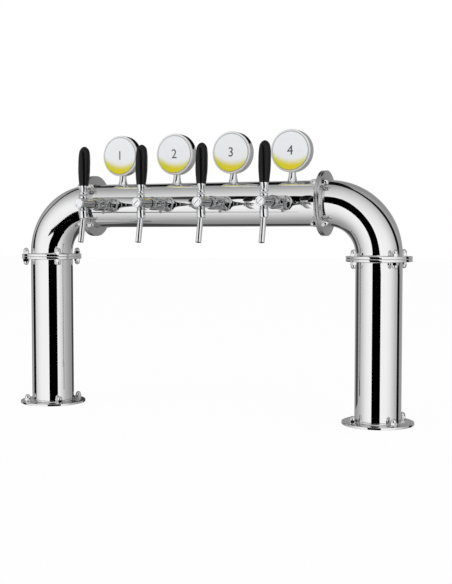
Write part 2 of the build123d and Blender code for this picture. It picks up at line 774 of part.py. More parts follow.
# --- Tap body: inlet cone, side hub, barrel, lever neck and spout boss in one casting ---
def make_tap_body(x):
    with BuildPart() as body:
        with BuildSketch(tap_plane(x)):
            with BuildLine():
                tail = Polyline(
                    (0, body_tail),
                    (tail_flange_r, body_tail),
                    (tail_flange_r, body_tail + tail_flange_t),
                    (tail_neck_r, body_tail + tail_flange_t),
                    (tail_neck_r, housing_back),
                    (housing_r - housing_back_w, housing_back),
                    (housing_r, housing_back + housing_back_w),
                    (housing_r, housing_front - housing_nose_w),
                )
                shoulder = TangentArc(
                    tail @ 1,
                    (housing_r - housing_nose_w, housing_front - housing_nose_w + housing_nose_l),
                    tangent=tail % 1,
                )
                Polyline(
                    shoulder @ 1,
                    (housing_r - housing_nose_w, neck_ring_back),
                    (neck_ring_r - turned_edge, neck_ring_back),
                    (neck_ring_r, neck_ring_back + turned_edge),
                    (neck_ring_r, neck_ring_back + neck_ring_t - turned_edge),
                    (neck_ring_r - turned_edge, neck_ring_back + neck_ring_t),
                    (barrel_r, neck_ring_back + neck_ring_t),
                    (barrel_r, barrel_front),
                    (0, barrel_front),
                    (0, body_tail),
                )
            make_face()
        revolve(axis=tap_axis(x))
        lever_foot = Plane(origin=(x, -lever_reach, bar_height))
        with BuildSketch(lever_foot):
            Circle(bonnet_r)
        extrude(amount=bonnet_seat)
        with BuildSketch(lever_foot.offset(bonnet_seat)):
            Circle(neck_thread_r)
        extrude(amount=neck_thread_top - bonnet_seat)
        spout_top = Plane(origin=lever_foot.origin, x_dir=(1, 0, 0), z_dir=(0, 0, -1))
        with BuildSketch(spout_top):
            Circle(spout_boss_r)
        extrude(amount=spout_seat_drop)
        with BuildSketch(spout_top.offset(spout_seat_drop)):
            Circle(spout_thread_r)
        extrude(amount=spout_thread_l)
        with BuildSketch(side_plane(x, hub_reach, 0)):
            Circle(hub_r)
        extrude(amount=hub_end)
        chamfer(body.faces().sort_by(Axis.X)[-1].edges(), length=hub_edge)
        with BuildSketch(tap_plane(x)):
            with BuildLine():
                Polyline(
                    (0, body_tail),
                    (inlet_r, body_tail),
                    (inlet_r, cone_back),
                    (barrel_bore_r, cone_front),
                    (barrel_bore_r, barrel_front),
                    (0, barrel_front),
                    close=True,
                )
            make_face()
        revolve(axis=tap_axis(x), mode=Mode.SUBTRACT)
        with BuildSketch(spout_top):
            Circle(spout_bore_r)
        extrude(amount=spout_seat_drop + spout_thread_l, mode=Mode.SUBTRACT)
        with BuildSketch(lever_plane(x)):
            with BuildLine():
                cup_foot = pivot_rise - sqrt(cup_r**2 - finger_hole_r**2)
                cup = RadiusArc((finger_hole_r, cup_foot), (cup_r, pivot_rise), -cup_r)
                Polyline(cup @ 1, (cup_r, pivot_rise + cup_rim), (0, pivot_rise + cup_rim),
                         (0, 0), (finger_hole_r, 0), cup @ 0)
            make_face()
        revolve(axis=lever_axis(x), mode=Mode.SUBTRACT)
        with BuildSketch(side_plane(x, hub_reach, 0)):
            Circle(spindle_r + running_gap)
        extrude(amount=hub_end, mode=Mode.SUBTRACT)
    return body


cap_front = barrel_front + cap_t
groove_r = cap_r - cap_rim_w - cap_groove_w
with BuildPart() as front_caps:
    for x in tap_places:
        with BuildSketch(tap_plane(x)):
            with BuildLine():
                Polyline(
                    (0, barrel_front - cap_spigot),
                    (barrel_bore_r - thread_gap, barrel_front - cap_spigot),
                    (barrel_bore_r - thread_gap, barrel_front),
                    (cap_r, barrel_front),
                    (cap_r, cap_front - cap_edge),
                    (cap_r - cap_edge, cap_front),
                    (cap_r - cap_rim_w, cap_front),
                    (groove_r, cap_front - cap_groove_depth),
                    (groove_r - cap_bevel, cap_front - cap_groove_depth),
                    (cap_r - cap_centre_w, cap_front - cap_centre_sink),
                    (0, cap_front - cap_centre_sink),
                    close=True,
                )
            make_face()
        revolve(axis=tap_axis(x))
        with BuildSketch(Plane(origin=(x, -cap_front, bar_height),
                               x_dir=(1, 0, 0), z_dir=(0, 1, 0))):
            Rectangle(2 * (cap_r - cap_centre_w), cap_slot_w, rotation=-45)
        extrude(amount=cap_slot_depth, mode=Mode.SUBTRACT)
save(front_caps, "front_caps")

with BuildPart() as bonnet_nuts:
    mouth_rise = sqrt(cup_r**2 - bonnet_mouth_r**2)
    for x in tap_places:
        with BuildSketch(lever_plane(x)):
            with BuildLine():
                skirt = Polyline(
                    (cup_r, pivot_rise),
                    (neck_thread_r + thread_gap, pivot_rise),
                    (neck_thread_r + thread_gap, bonnet_seat),
                    (bonnet_r - turned_edge, bonnet_seat),
                    (bonnet_r, bonnet_seat + turned_edge),
                    (bonnet_r, bonnet_edge),
                    (bonnet_mouth_r + bonnet_crown_w, bonnet_top),
                    (bonnet_mouth_r, pivot_rise + mouth_rise),
                )
                RadiusArc(skirt @ 1, skirt @ 0, cup_r)
            make_face()
        revolve(axis=lever_axis(x))
save(bonnet_nuts, "bonnet_nuts")


# --- Spout: screwed sleeve with a slim tube leaning forward ---
def make_spout(x):
    sleeve_top = -spout_seat_drop
    with BuildPart() as spout:
        with BuildSketch(lever_plane(x)):
            with BuildLine():
                Polyline(
                    (0, sleeve_top),
                    (spout_sleeve_r - turned_edge, sleeve_top),
                    (spout_sleeve_r, sleeve_top - turned_edge),
                    (spout_sleeve_r, sleeve_top - spout_sleeve_l + spout_sleeve_foot),
                    (spout_sleeve_r - spout_sleeve_foot, sleeve_top - spout_sleeve_l),
                    (0, sleeve_top - spout_sleeve_l),
                    close=True,
                )
            make_face()
        revolve(axis=lever_axis(x))
        elbow_point = (x, -lever_reach, bar_height - spout_bend_drop)
        leaning = Plane(origin=elbow_point, x_dir=(1, 0, 0), z_dir=(0, 0, -1)).rotated(
            (-spout_lean, 0, 0)
        )
        with BuildSketch(leaning):
            Circle(spout_r)
        extrude(amount=spout_l)
        with BuildSketch(Plane(origin=(x, -lever_reach, bar_height + sleeve_top),
                               x_dir=(1, 0, 0), z_dir=(0, 0, -1))):
            Circle(spout_thread_r + thread_gap)
        extrude(amount=spout_thread_l + spout_thread_end, mode=Mode.SUBTRACT)
        with BuildSketch(leaning.offset(-(spout_bend_drop - spout_seat_drop
                                          - spout_thread_l))):
            Circle(spout_bore_r)
        extrude(amount=spout_l + spout_bend_drop, mode=Mode.SUBTRACT)
        chamfer(spout.edges().filter_by(GeomType.CIRCLE).sort_by(Axis.Z)[0],
                length=turned_edge)
    return spout


save(gather([make_spout(x) for x in tap_places]), "tap_spouts")


# --- Lever: ball with a finger below, ring and stud above ---
def make_lever(x):
    leaning = leaning_plane(x)
    ring_top = lever_ring_rise + lever_ring_t
    stud_foot = ring_top + lever_ring_shoulder
    with BuildPart() as lever:
        with BuildSketch(leaning):
            with BuildLine():
                Polyline(
                    (0, 0),
                    (lever_stem_r, 0),
                    (lever_stem_r, lever_ring_rise),
                    (bonnet_r - lever_ring_edge, lever_ring_rise),
                    (bonnet_r, lever_ring_rise + lever_ring_edge),
                    (bonnet_r, ring_top - lever_ring_edge),
                    (bonnet_r - lever_ring_edge, ring_top),
                    (ferrule_bottom_r - shoulder_inset, ring_top),
                    (ferrule_bottom_r - shoulder_inset, stud_foot),
                    (lever_stud_r, stud_foot),
                    (lever_stud_r, stud_foot + lever_stud_length - lever_stud_chamfer),
                    (lever_stud_r - lever_stud_chamfer, stud_foot + lever_stud_length),
                    (0, stud_foot + lever_stud_length),
                    close=True,
                )
            make_face()
        revolve(axis=Axis(leaning.origin, leaning.y_dir))
        with Locations(Plane(origin=(x, -lever_reach, pivot_height))):
            Sphere(ball_r)
        with BuildSketch(Plane(origin=(x, -lever_reach, pivot_height - pivot_rise))):
            Circle(finger_r)
        extrude(amount=pivot_rise - ball_r / 2)
        with Locations(Plane(origin=(x, -lever_reach, pivot_height - pivot_rise))):
            Sphere(finger_ball_r)
    return lever


def make_ferrule(x):
    foot = lever_ring_rise + lever_ring_t + lever_ring_shoulder
    leaning = leaning_plane(x)
    with BuildPart() as ferrule:
        with BuildSketch(leaning):
            with BuildLine():
                base = Line((lever_stud_r + thread_gap, foot), (ferrule_bottom_r, foot))
                flank = Spline(
                    base @ 1, (ferrule_top_r, foot + ferrule_h - ferrule_band),
                    tangents=((0.25, 1), (0.1, 1)),
                )
                Polyline(flank @ 1, (ferrule_top_r, foot + ferrule_h),
                         (lever_stud_r + thread_gap, foot + ferrule_h), base @ 0)
            make_face()
        revolve(axis=Axis(leaning.origin, leaning.y_dir))
    return ferrule


def make_handle(x):
    foot = lever_ring_rise + lever_ring_t + lever_ring_shoulder + ferrule_h
    leaning = leaning_plane(x)
    top = foot + handle_h
    stud_end = foot - ferrule_h + lever_stud_length
    with BuildPart() as handle:
        with BuildSketch(leaning):
            with BuildLine():
                base = Line((0, foot), (handle_foot_r - handle_foot_edge, foot))
                lip = TangentArc(base @ 1, (handle_foot_r, foot + handle_foot_edge),
                                 tangent=base % 1)
                grip = Spline(
                    lip @ 1,
                    (handle_r, foot + handle_belly * handle_h),
                    (handle_shoulder_r, top - handle_shoulder_drop),
                    tangents=((0.12, 1), (-0.18, 1)),
                )
                crown = Spline(
                    grip @ 1, (0, top), tangents=(grip % 1, (-1, 0)),
                    tangent_scalars=(0.9, 0.9),
                )
                Line(crown @ 1, base @ 0)
            make_face()
        revolve(axis=Axis(leaning.origin, leaning.y_dir))
        with BuildSketch(Plane(origin=leaning.from_local_coords((0, foot, 0)),
                               x_dir=leaning.x_dir, z_dir=leaning.y_dir)):
            Circle(lever_stud_r + thread_gap)
        extrude(amount=stud_end + handle_end_gap - foot, mode=Mode.SUBTRACT)
    return handle


# --- Valve shaft: spool, lever collar with its pocket, and front guide ---
def make_valve_shaft(x):
    collar_back = lever_reach - valve_collar_l / 2
    collar_front = lever_reach + valve_collar_l / 2
    head_front = valve_head_back + valve_head_t
    guide_front = valve_guide_back + valve_guide_t
    with BuildPart() as shaft:
        with BuildSketch(tap_plane(x)):
            with BuildLine():
                Polyline(
                    (0, valve_head_back),
                    (valve_head_r - valve_head_edge, valve_head_back),
                    (valve_head_r, valve_head_back + valve_head_edge),
                    (valve_head_r, head_front),
                    (valve_rod_r, head_front + valve_head_taper),
                    (valve_rod_r, collar_back),
                    (valve_collar_r, collar_back),
                    (valve_collar_r, collar_front),
                    (valve_rod_r, collar_front),
                    (valve_rod_r, valve_guide_back),
                    (barrel_bore_r - sliding_gap, valve_guide_back),
                    (barrel_bore_r - sliding_gap, guide_front),
                    (0, guide_front),
                    close=True,
                )
            make_face()
        revolve(axis=tap_axis(x))
        with BuildSketch(Plane(origin=(x, -lever_reach, bar_height - finger_pocket / 2))):
            Rectangle(finger_pocket, finger_pocket)
        extrude(amount=finger_pocket + valve_collar_r, mode=Mode.SUBTRACT)
        slot_floor = bar_height + finger_ball_r + finger_slot_gap
        with BuildSketch(Plane(origin=(x, -lever_reach, slot_floor))):
            Rectangle(finger_pocket, finger_slot)
        extrude(amount=valve_collar_r, mode=Mode.SUBTRACT)
    return shaft


# --- Flow lever: spindle with an eccentric pin, knob and a side arm with a ball tip ---
def make_flow_lever(x):
    arm_out = hub_end + knob_gap + (knob_t - flow_arm_t) / 2
    with BuildPart() as flow_lever:
        with BuildSketch(side_plane(x, hub_reach, spindle_inner)):
            Circle(spindle_r)
        extrude(amount=hub_end + knob_gap - spindle_inner)
        with BuildSketch(side_plane(x, hub_reach, hub_end + knob_gap)):
            Circle(knob_r)
        extrude(amount=knob_t)
        chamfer(flow_lever.faces().sort_by(Axis.X)[-1].edges(), length=knob_edge)
        with BuildSketch(side_plane(x, hub_reach, pin_tip)):
            with Locations((0, eccentric)):
                Circle(pin_r)
        extrude(amount=spindle_inner - pin_tip)
        with BuildSketch(side_plane(x, hub_reach, arm_out)):
            Circle(flow_arm_root_r)
            with Locations((-flow_arm_forward, -flow_arm_drop)):
                Circle(flow_arm_end_r)
            make_hull()
        extrude(amount=flow_arm_t)
        tip = Plane(origin=(x + arm_out + flow_arm_t / 2, -hub_reach - flow_arm_forward,
                            bar_height - flow_arm_drop), x_dir=(1, 0, 0), z_dir=(0, -1, 0))
        with BuildSketch(tip):
            Circle(flow_ball_r)
            Rectangle(2 * flow_ball_r, flow_ball_r, align=(Align.CENTER, Align.MIN),
                      mode=Mode.SUBTRACT)
        revolve(axis=Axis(tip.origin, tip.x_dir))
    return flow_lever


# --- Compensator: fluted cone on a grooved guide, moved along by the eccentric pin ---
def make_compensator(x):
    with BuildPart() as compensator:
        with BuildSketch(tap_plane(x)):
            with BuildLine():
                nose = RadiusArc((0, compensator_back),
                                 (compensator_tip_r, compensator_back + compensator_nose_l),
                                 -compensator_nose_r)
                Polyline(
                    nose @ 1,
                    (compensator_cone_r, compensator_guide_back - compensator_shoulder),
                    (compensator_guide_r, compensator_guide_back),
                    (compensator_guide_r, hub_reach - groove_w / 2),
                    (groove_floor_r, hub_reach - groove_w / 2),
                    (groove_floor_r, hub_reach + groove_w / 2),
                    (compensator_guide_r, hub_reach + groove_w / 2),
                    (compensator_guide_r, compensator_front - compensator_edge),
                    (compensator_guide_r - compensator_edge, compensator_front),
                    (0, compensator_front),
                    (0, compensator_back),
                )
            make_face()
        revolve(axis=tap_axis(x))
        flute_back = compensator_guide_back - flute_lead
        with BuildSketch(Plane(origin=(x, -flute_back, bar_height),
                               x_dir=(1, 0, 0), z_dir=(0, -1, 0))):
            with PolarLocations(compensator_guide_r + flute_out, flutes, start_angle=45):
                Circle(flute_r)
        extrude(amount=compensator_front - flute_back, mode=Mode.SUBTRACT)
    return compensator


for number, x in enumerate(tap_places, start=1):
    save(make_tap_body(x), f"tap_{number}_body")
    save(make_lever(x), f"tap_{number}_lever")
    save(make_ferrule(x), f"tap_{number}_ferrule")
    save(make_handle(x), f"tap_{number}_handle")
    save(make_valve_shaft(x), f"tap_{number}_valve_shaft")
    save(make_flow_lever(x), f"tap_{number}_flow_lever")
    save(make_compensator(x), f"tap_{number}_compensator")
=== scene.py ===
"""The looks of a bridge-shaped beer tower: its pieces, their finishes and the studio."""

from math import cos, pi, radians, sin, sqrt

import bpy
from bpy.props import FloatProperty, FloatVectorProperty, IntProperty, PointerProperty
from mathutils import Matrix, Quaternion, Vector


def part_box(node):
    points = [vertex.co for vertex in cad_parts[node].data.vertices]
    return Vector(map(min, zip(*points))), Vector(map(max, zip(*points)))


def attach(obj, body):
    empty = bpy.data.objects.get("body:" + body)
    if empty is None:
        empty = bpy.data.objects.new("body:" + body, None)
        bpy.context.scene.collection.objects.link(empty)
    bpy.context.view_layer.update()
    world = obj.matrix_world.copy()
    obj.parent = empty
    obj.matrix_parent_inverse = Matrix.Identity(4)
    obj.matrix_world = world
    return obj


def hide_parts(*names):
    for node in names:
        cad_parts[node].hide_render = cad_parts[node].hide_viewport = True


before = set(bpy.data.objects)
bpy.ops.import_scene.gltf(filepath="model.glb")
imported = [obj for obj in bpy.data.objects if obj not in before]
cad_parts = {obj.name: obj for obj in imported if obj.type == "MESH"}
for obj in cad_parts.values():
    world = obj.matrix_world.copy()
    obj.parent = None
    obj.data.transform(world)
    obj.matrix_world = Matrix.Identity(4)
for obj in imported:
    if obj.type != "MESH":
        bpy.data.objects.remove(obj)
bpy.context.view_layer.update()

bl_info = {
    "name": "Beer tower",
    "version": (1, 0, 0),
    "blender": (4, 5, 0),
    "location": "View3D > Sidebar > Beer tower",
    "description": "Models a bridge-shaped beer tower with four taps and its studio",
    "category": "Add Mesh",
}

mm = 0.001
pole_r = 0.0004 * mm           # a ring this small is merged into a pole
merge_gap = 0.001 * mm
sharp_angle = 32.0             # degrees, edges flatter than this are shaded smooth
row_up = Vector((0, 0, 1))
row_front = Vector((0, -1, 0))
row_right = Vector((1, 0, 0))
plain_white = (1.0, 1.0, 1.0, 1.0)


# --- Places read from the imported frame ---
def middle(node):
    low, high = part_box(node)
    return (low + high) / 2


base_low, column_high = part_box("right_column")
bar_low, bar_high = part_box("crossbar")
column_x = middle("right_column").x
column_top = column_high.z
bar_height = (bar_low.z + bar_high.z) / 2
bar_end = bar_high.x
tap_count = sum(1 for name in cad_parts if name.endswith("_handle"))
tap_places = [middle(f"tap_{number}_handle").x for number in range(1, tap_count + 1)]
tap_axes = [(x, 0, bar_height) for x in tap_places]    # where each tap meets the bar's axis
sides = {"left": -1, "right": 1}


# --- Sizes and colours that a user would change ---
def length(name, description, default):
    """A length property, its default given in millimetres."""
    return FloatProperty(name=name, description=description, default=default * mm,
                         min=0, unit="LENGTH", precision=5)


def angle(name, description, default):
    """An angle property, its default given in degrees."""
    return FloatProperty(name=name, description=description, default=radians(default),
                         subtype="ANGLE")


def factor(name, description, default):
    return FloatProperty(name=name, description=description, default=default,
                         min=0, max=1, subtype="FACTOR")


def colour(name, description, default):
    return FloatVectorProperty(name=name, description=description, default=default,
                               min=0, max=1, size=3, subtype="COLOR")


class TubeSizes(bpy.types.PropertyGroup):
    tube_r: length("Tube radius", "Outer radius of the columns, elbows and crossbar", 50.8)
    wall: length("Wall", "Wall thickness of the tube", 2.0)
    base_flange_r: length("Base flange radius", "Radius of the flange on the counter", 79.0)
    base_flange_t: length("Base flange thickness", "Thickness of the base flange", 5.0)
    joint_flange_r: length("Joint flange radius", "Radius of the flanges in the joints", 72.0)
    joint_flange_t: length("Joint flange thickness", "Thickness of one joint flange", 5.5)
    flange_edge: length("Flange edge", "Rounding of the flange rims", 0.6)
    weld_leg: length("Weld", "Height and width of the polished welds", 2.5)
    gasket_t: length("Gasket", "Thickness of the gasket in each joint", 1.0)
    bend_r: length("Bend radius", "Radius of the elbow's centre line", 113.0)
    elbow_straight: length("Straight end", "Straight tube at each end of an elbow", 8.0)
    bolt_circle_r: length("Bolt circle radius", "Radius of the circle of bolts", 63.5)
    hole_r: length("Bolt hole radius", "Radius of the bolt holes in the flanges", 4.5)
    segments: IntProperty(name="Segments", description="Faces round a tube",
                          default=128, min=24, max=256)


class NutSizes(bpy.types.PropertyGroup):
    across_flats: length("Across flats", "Width of the nut across its flats", 13.0)
    hex_h: length("Hexagon height", "Height of the nut's hexagon", 6.5)
    dome_r: length("Dome radius", "Radius of the nut's dome", 6.25)
    height: length("Height", "Whole height of the domed nut", 15.0)
    washer_r: length("Washer radius", "Radius of the washers under the base nuts", 8.0)
    washer_t: length("Washer thickness", "Thickness of the base washers", 1.6)
    washer_hole_r: length("Washer hole radius", "Radius of the washer's hole", 4.2)


class MedallionSizes(bpy.types.PropertyGroup):
    rise: length("Rise", "Medallion centre above the bar's axis", 116.9)
    radius: length("Radius", "Outer radius of the medallion", 47.5)
    turn: angle("Turn", "Turn of each medallion to the left", 4.5)
    depth: length("Depth", "Depth of the chrome cup", 21.0)
    wall: length("Wall", "Wall of the chrome cup", 1.5)
    corner: length("Corner", "Rounding of the cup's back edge", 4.0)
    bevel: length("Bevel", "Height of the clear rim's bevel", 3.0)
    disc_r: length("Disc radius", "Radius of the printed disc", 43.0)
    disc_t: length("Disc thickness", "Thickness of the printed disc", 0.6)
    numeral_h: length("Numeral height", "Size of the tap numbers", 30.0)
    stem_top_r: length("Stem top radius", "Radius of the stem under the medallion", 8.0)
    stem_foot_r: length("Stem foot radius", "Radius of the stem's flared foot", 11.6)


class TapSizes(bpy.types.PropertyGroup):
    rosette_r: length("Rosette radius", "Radius of the rosette on the tube", 17.0)
    rosette_front_r: length("Rosette front radius", "Radius of its front edge", 14.5)
    rosette_front: length("Rosette front", "Front of the rosette from the bar's axis", 64.8)
    nut_r: length("Coupling nut radius", "Radius of the coupling nut", 15.5)
    nut_front: length("Coupling nut front", "Front of the coupling nut", 86.1)
    tail_r: length("Tail radius", "Radius of the body's tail in the nut", 9.3)
    housing_r: length("Housing radius", "Radius of the body's housing", 15.0)
    housing_back: length("Housing back", "Back of the housing from the bar's axis", 88.0)
    housing_front: length("Housing front", "Front of the housing", 137.0)
    barrel_r: length("Barrel radius", "Radius of the body's barrel", 10.6)
    barrel_front: length("Barrel front", "Front of the barrel", 207.0)
    ring_back: length("Ring back", "Back of the ring round the barrel", 147.0)
    ring_t: length("Ring thickness", "Thickness of the ring round the barrel", 5.0)
    ring_r: length("Ring radius", "Radius of the ring round the barrel", 12.6)
    cap_r: length("Cap radius", "Radius of the front cap", 10.75)
    cap_t: length("Cap thickness", "Thickness of the front cap", 6.0)
    lever_reach: length("Lever reach", "Lever and spout axis from the bar's axis", 189.0)
    pivot_rise: length("Pivot rise", "Centre of the lever's ball above the tap's axis", 12.5)
    bonnet_seat: length("Bonnet seat", "Underside of the bonnet nut", 10.9)
    bonnet_r: length("Bonnet radius", "Radius of the bonnet nut", 9.2)
    bonnet_top: length("Bonnet top", "Top of the bonnet nut", 17.4)
    bonnet_mouth_r: length("Bonnet mouth radius", "Mouth of the bonnet nut", 4.2)
    boss_r: length("Spout boss radius", "Radius of the boss over the spout", 8.6)
    boss_drop: length("Spout boss drop", "Underside of the boss below the axis", 15.8)
    hub_reach: length("Hub reach", "Side hub's axis from the bar's axis", 128.0)
    hub_r: length("Hub radius", "Radius of the side hub", 8.4)
    hub_end: length("Hub end", "End of the side hub from the tap's axis", 24.0)


class SpoutSizes(bpy.types.PropertyGroup):
    sleeve_r: length("Sleeve radius", "Radius of the screwed sleeve", 9.25)
    sleeve_l: length("Sleeve length", "Length of the screwed sleeve", 18.2)
    tube_r: length("Tube radius", "Outer radius of the spout's tube", 6.2)
    bore_r: length("Bore radius", "Radius of the spout's bore", 4.8)
    lean: angle("Lean", "Forward lean of the spout's tube", 14.0)
    bend_drop: length("Bend drop", "Bend of the spout below the tap's axis", 27.0)
    tube_l: length("Tube length", "Length of the leaning tube", 60.2)


class LeverSizes(bpy.types.PropertyGroup):
    lean: angle("Lean", "Backward lean of the closed handle", 3.0)
    ball_r: length("Ball radius", "Radius of the lever's ball", 5.0)
    stem_r: length("Stem radius", "Radius of the lever's stem", 2.4)
    ring_rise: length("Ring rise", "Underside of the ring above the ball's centre", 6.9)
    ring_t: length("Ring thickness", "Thickness of the lever's ring", 4.4)
    shoulder: length("Shoulder", "Height of the shoulder over the ring", 1.0)
    ferrule_h: length("Ferrule height", "Height of the flared ferrule", 13.4)
    ferrule_bottom_r: length("Ferrule foot radius", "Radius of the ferrule's foot", 6.35)
    ferrule_top_r: length("Ferrule top radius", "Radius of the ferrule's top", 8.9)
    handle_h: length("Handle height", "Height of the black handle", 87.1)
    handle_r: length("Handle radius", "Largest radius of the handle", 13.2)
    handle_foot_r: length("Handle foot radius", "Radius of the handle's foot", 10.3)
    handle_shoulder_r: length("Handle shoulder radius", "Radius near the handle's top", 11.5)
    handle_shoulder_drop: length("Handle shoulder drop", "Shoulder below the top", 12.0)
    knob_r: length("Knob radius", "Radius of the flow lever's knob", 7.2)
    knob_t: length("Knob thickness", "Thickness of the flow lever's knob", 6.6)
    arm_forward: length("Arm forward", "Forward reach of the flow lever's arm", 22.0)
    arm_drop: length("Arm drop", "Drop of the flow lever's arm", 19.0)
    tip_r: length("Tip radius", "Radius of the flow lever's ball tip", 3.4)


class FinishColours(bpy.types.PropertyGroup):
    steel: colour("Steel", "Polished stainless steel", (0.90, 0.90, 0.905))
    chrome: colour("Chrome", "Chrome plate on the taps and medallions", (0.91, 0.915, 0.93))
    handle: colour("Handle", "Black of the handles", (0.003, 0.003, 0.0035))
    face: colour("Face", "White of the medallions", (0.93, 0.945, 0.97))
    gold: colour("Gold", "Yellow at the foot of the medallions", (0.84, 0.67, 0.02))
    lime: colour("Lime", "Greener yellow at the sides", (0.74, 0.70, 0.03))
    print: colour("Numerals", "Dark print of the tap numbers", (0.03, 0.03, 0.034))
    brass: colour("Brass", "Bare brass inside", (0.66, 0.50, 0.24))
    rubber: colour("Rubber", "Washers inside the couplings", (0.03, 0.03, 0.03))
    seal: colour("Seal", "White gaskets in the joints", (0.80, 0.80, 0.79))
    spindle: colour("Spindle", "Steel of the valve shafts", (0.62, 0.62, 0.63))
    acetal: colour("Acetal", "White plastic of the compensators", (0.84, 0.84, 0.82))
    board: colour("Board", "Light boards in the medallions", (0.80, 0.82, 0.80))


class StageSettings(bpy.types.PropertyGroup):
    floor: colour("Floor", "Colour of the pale floor", (0.90, 0.90, 0.90))
    ambient: factor("Ambient", "Plain light from all round", 0.72)
    front_level: factor("Front level", "Level of the studio's front in the metal", 1.0)
    side_level: factor("Side level", "Level of the studio's sides in the metal", 0.52)
    back_level: factor("Back level", "Level of the studio's back in the metal", 0.32)
    roof_fall: factor("Roof fall", "How much darker the metal sees upwards", 0.20)
    lens: FloatProperty(name="Lens", description="Focal length of the camera",
                        default=62.94 * mm, unit="CAMERA")
    camera_place: FloatVectorProperty(
        name="Camera place", description="Where the camera stands",
        default=(918.8 * mm, -2178.8 * mm, 411.0 * mm), subtype="TRANSLATION")
    camera_yaw: angle("Camera yaw", "Camera's turn to the left", 21.69)
    camera_pitch: angle("Camera pitch", "Camera's tilt above the level", -3.175)


groups = {"tower_tube": TubeSizes, "tower_nut": NutSizes, "tower_medallion": MedallionSizes,
          "tower_tap": TapSizes, "tower_spout": SpoutSizes, "tower_lever": LeverSizes,
          "tower_finish": FinishColours, "tower_stage": StageSettings}


# --- Node trees ---
class Wire:
    """A value in a node tree; an expression on wires adds its Math nodes."""

    def __init__(self, tree, socket):
        self.tree = tree
        self.socket = socket

    def math(self, operation, first, second=0.0):
        node = self.tree.add("ShaderNodeMath", {"operation": operation},
                             {0: first, 1: second})
        return Wire(self.tree, node.outputs[0])

    def __add__(self, other):
        return self.math("ADD", self, other)

    __radd__ = __add__

    def __sub__(self, other):
        return self.math("SUBTRACT", self, other)

    def __rsub__(self, other):
        return self.math("SUBTRACT", other, self)

    def __mul__(self, other):
        return self.math("MULTIPLY", self, other)

    __rmul__ = __mul__

    def __neg__(self):
        return self.math("MULTIPLY", self, -1.0)

    def __abs__(self):
        return self.math("ABSOLUTE", self)

    def root(self):
        return self.math("SQRT", self)

    def above(self, low, high):
        """0 up to low, 1 from high, smooth between."""
        node = self.tree.add("ShaderNodeMapRange", {"interpolation_type": "SMOOTHSTEP"},
                             {"Value": self, "From Min": low, "From Max": high})
        return Wire(self.tree, node.outputs[0])

    def ramp(self, *stops):
        """Grey levels by position, for a value from 0 to 1."""
        node = self.tree.add("ShaderNodeValToRGB", {"stops": stops}, {"Fac": self})
        return Wire(self.tree, node.outputs["Color"])


class Tree:
    """Fills one node tree."""

    def __init__(self, tree):
        self.tree = tree
        tree.nodes.clear()

    def add(self, kind, settings=None, values=None):
        """A node, its settings first, then a number, colour or link for each socket."""
        node = self.tree.nodes.new(kind)
        for name, value in (settings or {}).items():
            if name == "stops":
                self.set_stops(node.color_ramp, value)
            else:
                setattr(node, name, value)
        for name, value in (values or {}).items():
            if isinstance(value, Wire):
                self.tree.links.new(value.socket, node.inputs[name])
            else:
                node.inputs[name].default_value = value
        return node

    def set_stops(self, ramp, stops):
        while len(ramp.elements) < len(stops):
            ramp.elements.new(1.0)
        for element, (place, level) in zip(ramp.elements, stops):
            element.position = place
            element.color = (level, level, level, 1)

    def wire(self, node, name=0):
        return Wire(self, node.outputs[name])

    def noise(self, vector, scale, detail=3.0, stretch=(1, 1, 1)):
        """Noise of so many features to the metre, its pattern stretched along the axes."""
        mapped = self.add("ShaderNodeMapping", None, {"Vector": vector, "Scale": stretch})
        node = self.add("ShaderNodeTexNoise", None, {
            "Vector": self.wire(mapped), "Scale": scale, "Detail": detail})
        return self.wire(node, "Fac")

    def mix(self, share, first, second):
        """A colour between two, by a share from 0 to 1."""
        node = self.add("ShaderNodeMix", {"data_type": "RGBA"},
                        {0: share, 6: first, 7: second})
        return Wire(self, node.outputs[2])

    def axes(self, vector):
        node = self.add("ShaderNodeSeparateXYZ", None, {"Vector": vector})
        return [self.wire(node, name) for name in "XYZ"]

    def bump(self, height, strength, distance):
        node = self.add("ShaderNodeBump", None, {
            "Height": height, "Strength": strength, "Distance": distance})
        return self.wire(node)


def rgba(value):
    return (*value, 1.0)


finishes = {}
turned_share = 0.70            # brightness of a turned face beside the polished tube
painted_shade_share = 0.62              # painted shade: brightness of the tap castings beside turned chrome


def new_material(name):
    """A material whose tree is still empty, and that tree."""
    material = bpy.data.materials.new(name)
    material.use_nodes = True
    return material, Tree(material.node_tree)


def finish(name, build):
    """The material of that name, built once."""
    if name not in finishes:
        material, tree = new_material(name)
        spot = tree.wire(tree.add("ShaderNodeTexCoord"), "Object")
        shader = tree.add("ShaderNodeBsdfPrincipled", None, build(tree, spot))
        tree.add("ShaderNodeOutputMaterial", None, {"Surface": tree.wire(shader)})
        finishes[name] = material
    return finishes[name]


def polished_steel():
    """Mirror-polished tube: faint cloudy smudges and very fine polishing lines."""
    tone = bpy.context.scene.tower_finish.steel

    def build(tree, spot):
        smudge = tree.noise(spot, 22.0)
        lines = tree.noise(spot, 900.0, 1.0, (0.05, 0.05, 1))
        return {
            "Base Color": tree.mix(smudge, rgba(tone), rgba([v * 0.97 for v in tone])),
            "Metallic": 1.0,
            "Roughness": 0.018 + 0.03 * smudge * smudge + 0.012 * lines,
            "Normal": tree.bump(tree.noise(spot, 9.0, 1.0), 0.05, 2.0 * mm),
        }
    return finish("polished_steel", build)


